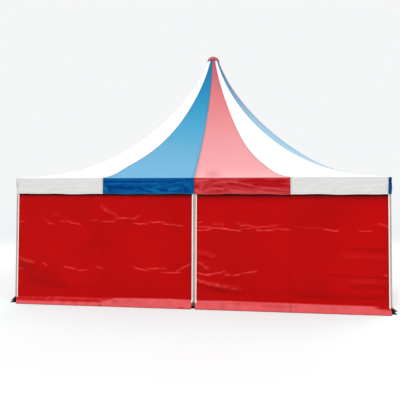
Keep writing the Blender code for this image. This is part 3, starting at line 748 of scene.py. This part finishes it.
def valance_folds(number, colour, across, down):
    """Height of a valance's folds by strength: the sum of its ridges and a share of facets."""
    rng = np.random.default_rng(300 + number)
    folds = np.zeros_like(across)
    for x0, y0, x1, y1, strength, half in VALANCE_FOLDS[colour]:
        steps = max(int(math.hypot(x1 - x0, y1 - y0) / VALANCE_JAG_EVERY), 2)
        jag = rng.normal(0, VALANCE_JAG, steps)
        folds += strength * ridge(across, down, (x0, y0), (x1, y1), half, 0.0, jag, LOWER_FLANK)
    if number % GORES_PER_SIDE == 0:
        for x0, y0, x1, y1, strength, half in CORNER_FOLDS:
            folds += strength * ridge(across - CORNER_WRAP, down, (x0, y0), (x1, y1), half)
    facets = crumple(200 + number, across, down, FACET_STRETCH, FACET_COUNT)
    return folds + facets * FACETS[colour]


def make_valance(number):
    """Valance: a strip down from the eave bead, out by its folds and waves, over the hem.

    Ends, corners and the top edge stay where they are, so that the neighbours meet. The first
    valance of a side starts before the corner and wraps round it. The hem wavers by two sines
    and by HEM_DROP, growing with the square of the way down.
    """
    spot = number % GORES_PER_SIDE
    first = spot == 0
    last = spot == GORES_PER_SIDE - 1
    colour = GORE_COLOURS[number % len(GORE_COLOURS)]
    gore_width = 2 * EAVE_HALF / GORES_PER_SIDE
    wrap = CORNER_WRAP / gore_width
    columns = np.linspace(0, 1 - wrap * last, VALANCE_COLUMNS - WRAP_COLUMNS * first)
    if first:
        columns = np.concatenate([np.linspace(-wrap, 0, WRAP_COLUMNS + 1)[:-1], columns])
    place = number - GORES_PER_SIDE / 2 + columns
    columns = (columns - columns[0]) / (columns[-1] - columns[0])
    long = gore_width + CORNER_WRAP * (int(first) - int(last))
    drop = VALANCE_TOP - VALANCE_HEM
    rows = np.concatenate([np.linspace(0, 0.9, VALANCE_ROWS[colour]), HEM_ROWS])
    across = columns[None, :] * long + np.zeros((len(rows), 1))
    down = rows[:, None] * drop + np.zeros((1, len(columns)))
    folds = valance_folds(number, colour, across, down)

    # How far the cloth stands out, clear of the beam behind it
    out = VALANCE_FOLD_HEIGHT * folds
    out += VALANCE_WAVES * waves(100 + number, across, down * 2.2, 10, 0.12, 0.5)
    free = smooth(0, FOLDS_FROM_END, across) * smooth(0, FOLDS_FROM_END, long - across)
    out *= free * smooth(0, FOLDS_FROM_TOP, down)
    inmost = -VALANCE_INMOST[0] - VALANCE_INMOST[1] * smooth(0.05, 0.08, down)
    out = np.clip(out, inmost, VALANCE_OUTMOST)
    if first or last:
        from_corner = np.abs(across - CORNER_WRAP) if first else long + CORNER_WRAP - across
        out -= CORNER_TUCK * (1 - smooth(0, 0.30, from_corner)) * smooth(0.04, drop, down)
    hem = smooth(drop - HEM_BAND - HEM_STEP, drop - HEM_BAND, down)
    out += HEM_THICKER * hem

    # Painted highlights on the folds, under the bead and along the hem's lower edge, and painted
    # shade in the hollows
    middle, swing = VALANCE_FOLD_SHADING[colour]
    painted_lit = (1 - smooth(0, 0.030, down)) * PAINTED_TOP_LIGHT
    painted_lit += smooth(drop - 0.017, drop - 0.008, down) * PAINTED_HEM_LIGHT
    crest = np.clip(np.maximum(middle + swing * folds, painted_lit), 0, 1)

    sag = HEM_SAG[0] * np.sin(2 * math.pi * (columns + number * 0.37))
    sag += HEM_SAG[1] * np.sin(5.1 * math.pi * columns + number)
    sag *= smooth(0, 0.08, columns) * smooth(0, 0.08, 1 - columns)
    from_middle = place - GORES_PER_SIDE * (number // GORES_PER_SIDE)
    hang = sag - np.interp(from_middle, HEM_DROP_AT, HEM_DROP)
    points = np.repeat(roof_point(place[None, :], np.zeros((1, 1))), len(rows), 0)
    points[..., 2] = VALANCE_TOP - down + hang[None, :] * (down / drop) ** 2
    points = pushed(points, out)
    edge = 1 - smooth(WELD * WELD_FULL, WELD, np.minimum(across, long - across))
    weld_and_shade = np.maximum(edge, hem * HEM_WELD)
    # Painted shade on the end that wraps the corner, carried by the weld mark
    if first:
        weld_and_shade = weld_and_shade + WRAP_SHADE * (1 - smooth(CORNER_WRAP - 0.010, CORNER_WRAP + 0.004, across))
    side = SIDES[number // GORES_PER_SIDE]
    name = f"{side}_{spot + 1}"
    piece = surface(f"valance_{name}", points, VALANCE[colour],
                    np.stack([across, down], -1), {"weld_and_shade": weld_and_shade, "crest": crest}, MEMBRANE)
    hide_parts(f"roof_{name}")


# Walls

def crease_field(bay, x, z):
    """Height of creases and folds at places on a bay of wall, the painted highlight along them,
    and the painted shade in hollows and just under a crease. Each is a sum of ridges."""
    height = np.zeros(np.broadcast(x, z).shape)
    crease_light = np.zeros_like(height)
    painted_dark = np.zeros_like(height)
    rng = np.random.default_rng(40 + bay)
    for x0, z0, x1, z1, strength, half in CREASES[bay]:
        sharp = half < SHARP_UNDER
        jag_size, drawn, upper_flank, crest_light, glow_light = SHARP_CREASE if sharp else SOFT_CREASE
        if sharp:
            longer = SHARP_LONGER * (x1 - x0), SHARP_LONGER * (z1 - z0)
            x0, z0, x1, z1 = x0 - longer[0], z0 - longer[1], x1 + longer[0], z1 + longer[1]
        length = math.hypot(x1 - x0, z1 - z0)
        bow = rng.uniform(*SHARP_BOW) if sharp and length > 0.08 else 0.0
        jag = rng.normal(0, jag_size, max(int(length / CREASE_JAG_EVERY), 2))
        size = half * drawn
        crest = ridge(x, z, (x0, z0), (x1, z1), size, -bow, jag, upper_flank)
        height += strength * crest * CREASE_HEIGHT * (1 if half < BROAD_FROM else 2)
        if strength < 0:
            painted_dark -= HOLLOW_DARK * strength * crest
            continue
        below, wide = size * SHADE_LINE[0], size * SHADE_LINE[1]
        under = ridge(x, z, (x0, z0 - below), (x1, z1 - below), wide, -bow, jag)
        painted_dark += CREASE_SHADE * strength * under
        if half < BROAD_FROM:
            above, wide = size * LIGHT_BAND[0], size * LIGHT_BAND[1]
            glow = ridge(x, z, (x0, z0 + above), (x1, z1 + above), wide, -bow, jag)
            crease_light += strength * (crest * crest_light + glow * glow_light)
    crease_light *= np.clip(0.85 + 0.6 * waves(90 + bay, x, z * 3, 12, 0.06, 0.35), *LIGHT_RANGE)
    return height, crease_light, painted_dark


# Heights of the rows of an upright wall: from, to and distance apart, close over the two bands
# of creases
LEVELS = ((WALL_TOP, 1.46, 0.030), (1.46, 1.18, 0.0065), (1.18, 0.76, 0.030),
          (0.76, 0.47, 0.0065), (0.47, 0.17, 0.020))
LEAD_ROWS = 7                # from the last of them down to the fold
BEND_ROWS = 7
SKIRT_ROWS = 13
PANEL_COLUMNS = 97
TAPE_COLUMNS = 6
TAPE_LOW = 0.075             # where a tape ends
TAPE_LIFT = 0.0012           # how far it stands off the panel, and how much more in its middle
TAPE_CROWN = 0.0006
SKIRT_LOWEST = 0.0016        # of the smooth skirt, and of everything on it
GROUND_GAP = 0.0012
SKIRT_REACH = SKIRT_HEM - WALL_OUTER
WALL_WAVES = 0.0040          # heights of the cloth's long waves, short waves and ripples
SMALL_WAVES = 0.0007
SKIRT_RIPPLES = 0.0028
SHELTERED = 0.35             # share of the long waves that is left up under the valance
FULL_RELIEF = 0.004          # height that counts as a full crest or hollow of the painted shading
WAVE_LIGHT = 0.35            # how much painted light and shade of that shows on the upright wall, and the most
WAVE_LIGHT_MOST = 0.5
RIPPLE_LIGHT_MOST = 0.8
SKIRT_PAINTED_LIGHT = 0.4      # painted light, and pale tint, of a skirt out of its fold and not otherwise pale
PLAIN_SKIRT_TINT = 0.09
WELD_THICKER = 0.0009
POST_GAP = (0.0015, 0.02)    # how far in the wall may lie beside a post, and how much more past it
CLEAR_ABOVE = 1.74           # from here up the wall keeps clear of the valance
CLEAR_RANGE = (-0.006, 0.004)


def wall_base(bay, x):
    """Smooth wall and skirt over the columns x, on the front, how far out it is and how long
    the skirt is.

    Upright down to the fold, a quadratic curve round it, then straight out to the hem. x
    narrows on the way out.
    """
    fold = np.interp(x, FOLD_AT, FOLD_HEIGHT)
    heights = [np.arange(high, low, -apart) for high, low, apart in LEVELS]
    levels = np.concatenate(heights)[:, None] + np.zeros_like(x)
    run = np.linspace(0, 1, LEAD_ROWS)[1:-1, None]
    lead = levels[-1] + (fold + FOLD_ROUND - levels[-1]) * run
    slope = np.hypot(SKIRT_REACH, fold)
    bend = np.linspace(0, 1, BEND_ROWS)[:, None]
    turn_out = (FOLD_ROUND / slope) * SKIRT_REACH * bend ** 2
    turn_z = (1 - bend) ** 2 * (fold + FOLD_ROUND) + 2 * bend * (1 - bend) * fold
    turn_z += bend ** 2 * (fold - FOLD_ROUND / slope * fold)
    skirt = np.linspace(0, 1, SKIRT_ROWS)[1:, None]
    skirt_out = turn_out[-1] + (SKIRT_REACH - turn_out[-1]) * skirt
    skirt_z = np.maximum(turn_z[-1] * (1 - skirt), SKIRT_LOWEST) + HEM_LIFT * skirt ** 2
    z = np.concatenate([levels, lead, turn_z, skirt_z])
    out = np.concatenate([np.zeros_like(levels), np.zeros_like(lead), turn_out, skirt_out])
    hand = -1 if bay == 0 else 1
    part = (hand * x - WALL_START) / (WALL_END - WALL_START)
    hem_x = hand * (SKIRT_END_MIDDLE + part * (SKIRT_END_CORNER[bay] - SKIRT_END_MIDDLE))
    share = out / SKIRT_REACH
    across = x * (1 - share) + hem_x * share
    return np.stack([across, -WALL_OUTER - out, z], -1), out, slope


def wall_surface(bay, x):
    """Wall and skirt over the columns x: wall_base moved square to itself by creases, seeded
    waves and the middle weld. Returns the points, their normals, the marks for the material
    and the arc lengths down from the first row."""
    base, out, slope = wall_base(bay, x)
    across = base[..., 0]
    z = base[..., 2]
    share = out / SKIRT_REACH
    hand = -1 if bay == 0 else 1
    from_end = np.minimum(hand * across - WALL_START, WALL_END - hand * across)
    height, crease_light, painted_dark = crease_field(bay, across, z)

    # Waves of the upright wall, less under the valance's shade, and ripples of the skirt, less
    # at its hem
    upright = smooth(0.10, 0.30, z)
    under = 1 - smooth(1.60, 1.76, z)
    soft = waves(31 + bay, across, z * 0.8, 14, 0.35, 1.5) * WALL_WAVES
    soft = soft * (SHELTERED + (1 - SHELTERED) * under)
    small = waves(51 + bay, across, z * 1.5, 16, 0.10, 0.30) * SMALL_WAVES
    ripple = waves(71 + bay, across * 1.4, out * 0.6, 14, 0.07, 0.40) * SKIRT_RIPPLES
    ripple = ripple * smooth(0.0, 0.03, out) * (1 - 0.7 * smooth(0.085, 0.113, out))

    # Painted light and shade: lighter and darker by its waves and ripples, and painted shade in
    # hollows, beside the posts, under the valance and at the hem
    light = WAVE_LIGHT * (soft + small) / FULL_RELIEF * upright
    painted_shading = np.clip(light, -WAVE_LIGHT_MOST, WAVE_LIGHT_MOST)
    painted_shading = painted_shading + np.clip(ripple / FULL_RELIEF, -RIPPLE_LIGHT_MOST, RIPPLE_LIGHT_MOST)
    painted_shading = painted_shading - HOLLOW_SHADE * painted_dark * upright
    painted_shading = painted_shading - POST_SHADE * (1 - smooth(0.024, 0.042, from_end)) * (share < 0.02)
    painted_shading = painted_shading - np.interp(across, SHADE_AT, SHADE) * smooth(*SHADE_HEIGHTS, z)
    strength, height_at, half = SHADE_BAND
    band = strength * np.exp(-((z - height_at) / half) ** 2)
    painted_shading = painted_shading - band * smooth(-1.6, 0.0, across)
    # Painted shadow along the skirt's hem, where it meets the floor
    shadow = HEM_SHADE[0] + HEM_SHADE[1] * waves(11 + bay, across, 0 * z, 8, 0.15, 0.9)
    painted_shading = painted_shading - shadow * smooth(0.93, 1, share)

    # How pale the skirt is, partly chalky wear and partly painted light, with streaks of painted
    # highlight and painted shadow
    pale = smooth(0, 0.05, share - np.interp(across, PALE_AT, PALE_FROM))
    out_of_fold = smooth(0.01, 0.03, share)
    painted_shading = painted_shading + SKIRT_PAINTED_LIGHT * out_of_fold * (1 - pale)
    skirt_tint = np.maximum(pale, PLAIN_SKIRT_TINT * out_of_fold)
    for x0, v0, x1, v1, strength, half in SKIRT_MARKS[bay]:
        streak = ridge(across, share * slope, (x0, v0), (x1, v1), half)
        skirt_tint += strength * streak * (share > 0)

    # Still at the ends, and clear of the posts and of the valance
    off = (height + soft + small) * upright + ripple
    off *= smooth(0, 0.06, hand * across - WALL_START) * smooth(0, 0.06, WALL_END - hand * across)
    off = np.where(z > CLEAR_ABOVE, np.clip(off, *CLEAR_RANGE), off)
    off = np.maximum(off, -POST_GAP[0] - POST_GAP[1] * smooth(0.055, 0.11, from_end))
    middle = (WALL_START + WALL_END) / 2
    seam = 1 - smooth(WELD * 0.40, WELD * 0.52, np.abs(np.abs(across) - middle))
    off += seam * WELD_THICKER
    facing = normals(base)
    points = base + facing * off[..., None]
    points[..., 2] = np.maximum(points[..., 2], GROUND_GAP)
    marks = {
        # The weld mark is also deeper at the skirt's hem, as painted shadow
        "weld_and_shade": seam * (0.5 + 1.5 * smooth(0.0, 0.1, share)) + smooth(0.90, 0.97, share),
        "crease": np.clip(crease_light * upright, 0, 1),
        "painted_shading": painted_shading,
        "skirt": np.clip(skirt_tint, 0, 1),
    }
    return points, facing, marks, measure(base)[1]


def make_wall(side, bay):
    """Panel of one bay, and the keder tapes over its two ends, a little crowned."""
    ends = (-WALL_END, -WALL_START) if bay == 0 else (WALL_START, WALL_END)
    edge = np.linspace(0, TAPE_WIDTH, TAPE_COLUMNS)
    between = np.linspace(ends[0] + TAPE_WIDTH, ends[1] - TAPE_WIDTH, PANEL_COLUMNS)[1:-1]
    x = np.concatenate([ends[0] + edge, between, ends[1] - edge[::-1]])
    points, _, marks, down = wall_surface(bay, x)
    name = f"{SIDES[side]}_{bay + 1}"
    wall = surface(f"panel_{name}", turned(points, side), WALL_RED,
                   np.stack([np.broadcast_to(x, down.shape), down], -1), marks, MEMBRANE)
    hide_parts(f"wall_{name}")
    for label, strip_x in (("left", ends[0] + edge), ("right", ends[1] - edge[::-1])):
        strip, facing = wall_surface(bay, strip_x)[:2]
        keep = strip[:, 2, 2] > TAPE_LOW
        crown = TAPE_LIFT + TAPE_CROWN * np.sin(np.linspace(0, math.pi, TAPE_COLUMNS))
        strip = (strip + facing * crown[None, :, None])[keep]
        _, along, across = measure(strip)
        surface(f"tape_{name}_{label}", turned(strip, side), TAPE_WHITE,
                             np.stack([across, along], -1), {"weld_and_shade": 0.0}, MEMBRANE)


# Posts

OUTER_ROUND = 0.0018         # radii of a profile's outer and inner corners
INNER_ROUND = 0.001
CHAMFER = 0.0006             # where a profile is sawn off
CHAMFER_ROUND = 0.0014
END_BAND = 0.01              # a ring this far from each end keeps the shading straight
GROOVE_HALF = 0.004
GROOVE_DEPTH = 0.0035


def rounded(outline, radius, steps=4):
    """Closed outline with each corner replaced by a quadratic curve that starts and ends the
    given radius away from it."""
    points = np.asarray(outline, float)
    before = np.roll(points, 1, axis=0) - points
    after = np.roll(points, -1, axis=0) - points
    before_length = np.linalg.norm(before, axis=1, keepdims=True)
    after_length = np.linalg.norm(after, axis=1, keepdims=True)
    cut = np.minimum(radius, 0.45 * np.minimum(before_length, after_length))
    start = points + before / before_length * cut
    end = points + after / after_length * cut
    t = np.linspace(0, 1, steps + 1)[None, :, None]
    arcs = (1 - t) ** 2 * start[:, None] + 2 * t * (1 - t) * points[:, None] + t ** 2 * end[:, None]
    return arcs.reshape(-1, 2)


def inset(outline, depth):
    """Counter-clockwise outline moved inwards, mitred at its corners."""
    points = np.asarray(outline, float)
    arrive = points - np.roll(points, 1, axis=0)
    leave = np.roll(points, -1, axis=0) - points
    first = np.stack([-arrive[:, 1], arrive[:, 0]], -1) / np.linalg.norm(arrive, axis=1, keepdims=True)
    second = np.stack([-leave[:, 1], leave[:, 0]], -1) / np.linalg.norm(leave, axis=1, keepdims=True)
    mitre = (first + second) / (1 + (first * second).sum(1, keepdims=True))
    return points + depth * mitre


def make_post(name, outline, side, node_name):
    """Hollow extrusion: its section's outer and inner loops drawn from the foot to the beam,
    with a small chamfer at both ends."""
    outer = rounded(outline, OUTER_ROUND)
    inner = rounded(inset(outline, TUBE_WALL), INNER_ROUND)
    slim = rounded(inset(outline, CHAMFER), CHAMFER_ROUND)
    low, high = POST_LOW, POST_HIGH
    rings = [(inner, low), (slim, low), (outer, low + CHAMFER)]
    rings += [(outer, low + END_BAND), (outer, high - END_BAND)]
    rings += [(outer, high - CHAMFER), (slim, high), (inner, high), (inner, low)]
    points = np.stack([np.column_stack([loop, np.full(len(loop), level)]) for loop, level in rings])
    post = surface(name, turned(points, side), ALUMINIUM, round_it=True, flip=True)
    post.data.set_sharp_from_angle(angle=math.radians(40))
    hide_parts(node_name)


def make_posts(side):
    """A side's middle post, with a grooved nose, and the corner post on its right."""
    deep = HALF - NOSE_DEPTH
    back = deep - POST_SIDE
    body = POST_SIDE / 2
    middle = [(-NOSE, -HALF), (-GROOVE_HALF, -HALF), (-GROOVE_HALF, -HALF + GROOVE_DEPTH),
              (GROOVE_HALF, -HALF + GROOVE_DEPTH), (GROOVE_HALF, -HALF), (NOSE, -HALF), (NOSE, -deep),
              (body, -deep), (body, -back), (-body, -back), (-body, -deep), (-NOSE, -deep)]
    make_post(f"mid_post_{SIDES[side]}", middle, side, f"post_{SIDES[side]}")
    nose = HALF - CORNER_NOSE
    corner = [(nose, -HALF), (HALF, -HALF), (HALF, -nose), (deep, -nose), (deep, -back), (back, -back),
              (back, -deep), (nose, -deep)]
    make_post(f"corner_post_{side + 1}", corner, side, f"post_corner_{side + 1}")


# Cap

CAP_OVERHANG = 0.0097        # out past the membrane, as the next three in the part's source
CAP_SKIRT = 0.012            # down over the membrane
CAP_SPRING = 0.004           # start of the dome above the end of the membrane
CAP_HEIGHT = 0.137
CAP_THICK = 0.0015
CAP_COLUMNS = 96
CAP_ROWS = 22
CAP_ROLL = (0.004, 0.0012)   # height and reach of the rolled lower edge
CAP_SEAMS = 8
CAP_SEAM_HALF = 0.05         # half width of a seam, as a share of the way to the next
CAP_SEAM_DEPTH = 0.0022
CAP_WAVER = 0.0012


def make_cap():
    """Cap: a quarter ellipse turned about Z, its radius eased in at eight sewn seams and
    wavering in three, over a straight band with a rolled lower edge."""
    angle = np.arange(CAP_COLUMNS) * 2 * math.pi / CAP_COLUMNS
    radius = CROWN_RADIUS + CAP_OVERHANG
    rim = CROWN - CAP_SKIRT
    spring = CROWN + CAP_SPRING
    rise = CAP_HEIGHT - (spring - rim)
    t = np.linspace(0, math.pi / 2, CAP_ROWS)[:, None]
    gap = 0.5 - np.abs((angle / (2 * math.pi / CAP_SEAMS)) % 1 - 0.5)
    seam = np.exp(-(gap / CAP_SEAM_HALF) ** 2)[None, :]
    level = np.concatenate([[[rim]], [[rim + CAP_ROLL[0]]], spring + rise * np.sin(t)])
    spread = np.concatenate([[[radius]], [[radius + CAP_ROLL[1]]], radius * np.cos(t)])
    spread = spread - CAP_SEAM_DEPTH * seam * (spread / radius)
    spread = spread + CAP_WAVER * np.sin(3 * angle + 1.0)[None, :] * (spread / radius) ** 2
    spread[-1] = 0
    points = np.stack([spread * np.cos(angle), spread * np.sin(angle), level + np.zeros_like(angle)], -1)
    flat = np.stack(np.broadcast_arrays(angle[None, :] * radius, level - rim), -1)
    cap = surface("peak_cap", points, CAP_RED, flat, {"weld_and_shade": seam * 0.9}, CAP_THICK,
                  round_it=True, flip=True)
    shell = bmesh.new()
    shell.from_mesh(cap.data)
    bmesh.ops.remove_doubles(shell, verts=shell.verts, dist=1e-6)
    shell.to_mesh(cap.data)
    shell.free()
    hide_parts("apex_cap")


# Floor, light and camera

FLOOR_RADIUS = 90.0
FLOOR_CORNERS = 96
# Suns: name, where each shines from, strength, and its width in degrees
SUNS = (("key", (-2.5, -6.5, 11.0), 1.25, 12), ("rim", (6.0, 5.0, 7.0), 0.4, 30))


def floor_paper():
    """Matt studio paper, which gives an even pale floor without shine. It is a little darker
    far off, and tinted against the red that the walls throw on it near the tent."""
    made, tree = new_material("studio_floor_matt_paper")
    place = node(tree, "ShaderNodeTexCoord").outputs["Object"]
    grain = node(tree, "ShaderNodeTexNoise", {"Scale": PAPER_SCALE, "Detail": 3.0}, {"Vector": place})
    far = node(tree, "ShaderNodeVectorMath", {"operation": "LENGTH"}, {0: place})
    fall = node(tree, "ShaderNodeMapRange",
                {"interpolation_type": "SMOOTHSTEP", "From Min": 4.0, "From Max": 13.0,
                 "To Min": 0.81, "To Max": 0.662}, {"Value": far.outputs["Value"]})
    tone = node(tree, "ShaderNodeMath", {"operation": "MULTIPLY_ADD", 1: 0.012},
                {0: grain.outputs["Fac"], 2: fall.outputs["Result"]})
    span = node(tree, "ShaderNodeVectorMath", {"operation": "ABSOLUTE"}, {0: place})
    apart = node(tree, "ShaderNodeSeparateXYZ", {}, {0: span.outputs["Vector"]})
    square = node(tree, "ShaderNodeMath", {"operation": "MAXIMUM"},
                  {0: apart.outputs["X"], 1: apart.outputs["Y"]})
    near = node(tree, "ShaderNodeMapRange",
                {"interpolation_type": "SMOOTHSTEP", "From Min": HALF, "From Max": 5.2},
                {"Value": square.outputs[0]})
    tint = node(tree, "ShaderNodeMix",
                {"data_type": "VECTOR", MIX_VECTORS[0]: (1.01, 1.16, 1.155),
                 MIX_VECTORS[1]: (0.985, 1.0, 1.005)}, {MIX_FACTOR: near.outputs["Result"]})
    pale = node(tree, "ShaderNodeVectorMath", {"operation": "SCALE"},
                {0: tint.outputs[MIX_VECTOR_OUT], "Scale": tone.outputs[0]})
    shader = node(tree, "ShaderNodeBsdfPrincipled", {"Roughness": 0.9, "Specular IOR Level": 0.0},
                  {"Base Color": pale.outputs["Vector"]})
    node(tree, "ShaderNodeOutputMaterial", {}, {"Surface": shader.outputs["BSDF"]})
    return made


def make_studio():
    """A wide round floor, an even pale sky and two soft suns."""
    mesh = bpy.data.meshes.new("floor")
    ring = np.arange(FLOOR_CORNERS) * 2 * math.pi / FLOOR_CORNERS
    rim = np.column_stack([np.cos(ring), np.sin(ring), np.zeros(FLOOR_CORNERS)]) * FLOOR_RADIUS
    mesh.from_pydata(rim, [], [list(range(FLOOR_CORNERS))])
    mesh.materials.append(floor_paper())
    floor = bpy.data.objects.new("floor", mesh)
    bpy.context.collection.objects.link(floor)

    world = bpy.data.worlds.new("studio")
    bpy.context.scene.world = world
    world.use_nodes = True
    sky = world.node_tree.nodes["Background"]
    sky.inputs["Color"].default_value = (0.98, 0.99, 1.0, 1.0)
    sky.inputs["Strength"].default_value = 0.93
    for name, place, energy, wide in SUNS:
        lamp = bpy.data.lights.new(name, "SUN")
        lamp.energy = energy
        lamp.angle = math.radians(wide)
        sun = bpy.data.objects.new(name, lamp)
        way = np.array(place) / np.linalg.norm(place)
        sun.rotation_euler = (math.acos(way[2]), 0.0, math.atan2(way[0], -way[1]))
        bpy.context.collection.objects.link(sun)
    bpy.context.scene.view_settings.view_transform = "Standard"


def make_camera():
    """Camera from the fit: its axes from turn, tilt and roll, its shift from the photograph's
    centre of perspective."""
    forward = np.array([-math.sin(CAMERA_TURN) * math.cos(CAMERA_TILT),
                        math.cos(CAMERA_TURN) * math.cos(CAMERA_TILT), math.sin(CAMERA_TILT)])
    level = np.array([math.cos(CAMERA_TURN), math.sin(CAMERA_TURN), 0.0])
    up = np.cross(level, forward)
    right = math.cos(CAMERA_ROLL) * level + math.sin(CAMERA_ROLL) * up
    top = -math.sin(CAMERA_ROLL) * level + math.cos(CAMERA_ROLL) * up
    data = bpy.data.cameras.new("photo_view")
    data.sensor_width = 36.0
    data.lens = FOCAL_PIXELS / IMAGE_SIDE * data.sensor_width
    data.shift_x = (IMAGE_SIDE / 2 - CENTRE_PIXEL[0]) / IMAGE_SIDE
    data.shift_y = (CENTRE_PIXEL[1] - IMAGE_SIDE / 2) / IMAGE_SIDE
    data.clip_end = 400.0
    camera = bpy.data.objects.new("photo_view", data)
    bpy.context.collection.objects.link(camera)
    placed = np.eye(4)
    placed[:3, 0] = right
    placed[:3, 1] = top
    placed[:3, 2] = -forward
    placed[:3, 3] = CAMERA_PLACE
    camera.matrix_world = mathutils.Matrix(placed.tolist())
    bpy.context.scene.camera = camera


make_camera()
make_studio()
for gore_number in range(GORES):
    make_gore(gore_number)
    make_valance(gore_number)
for side_number in range(len(SIDES)):
    for bay_number in BAYS:
        make_wall(side_number, bay_number)
    make_posts(side_number)
make_cap()

# Solids that stay as they are get their metal
for name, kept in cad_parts.items():
    if name.startswith("foot"):
        finish = BLACK_STEEL
    elif name.startswith("eave_beam"):
        finish = ALUMINIUM
    else:
        finish = ZINC_STEEL
    for place in kept.material_slots:
        place.material = finish
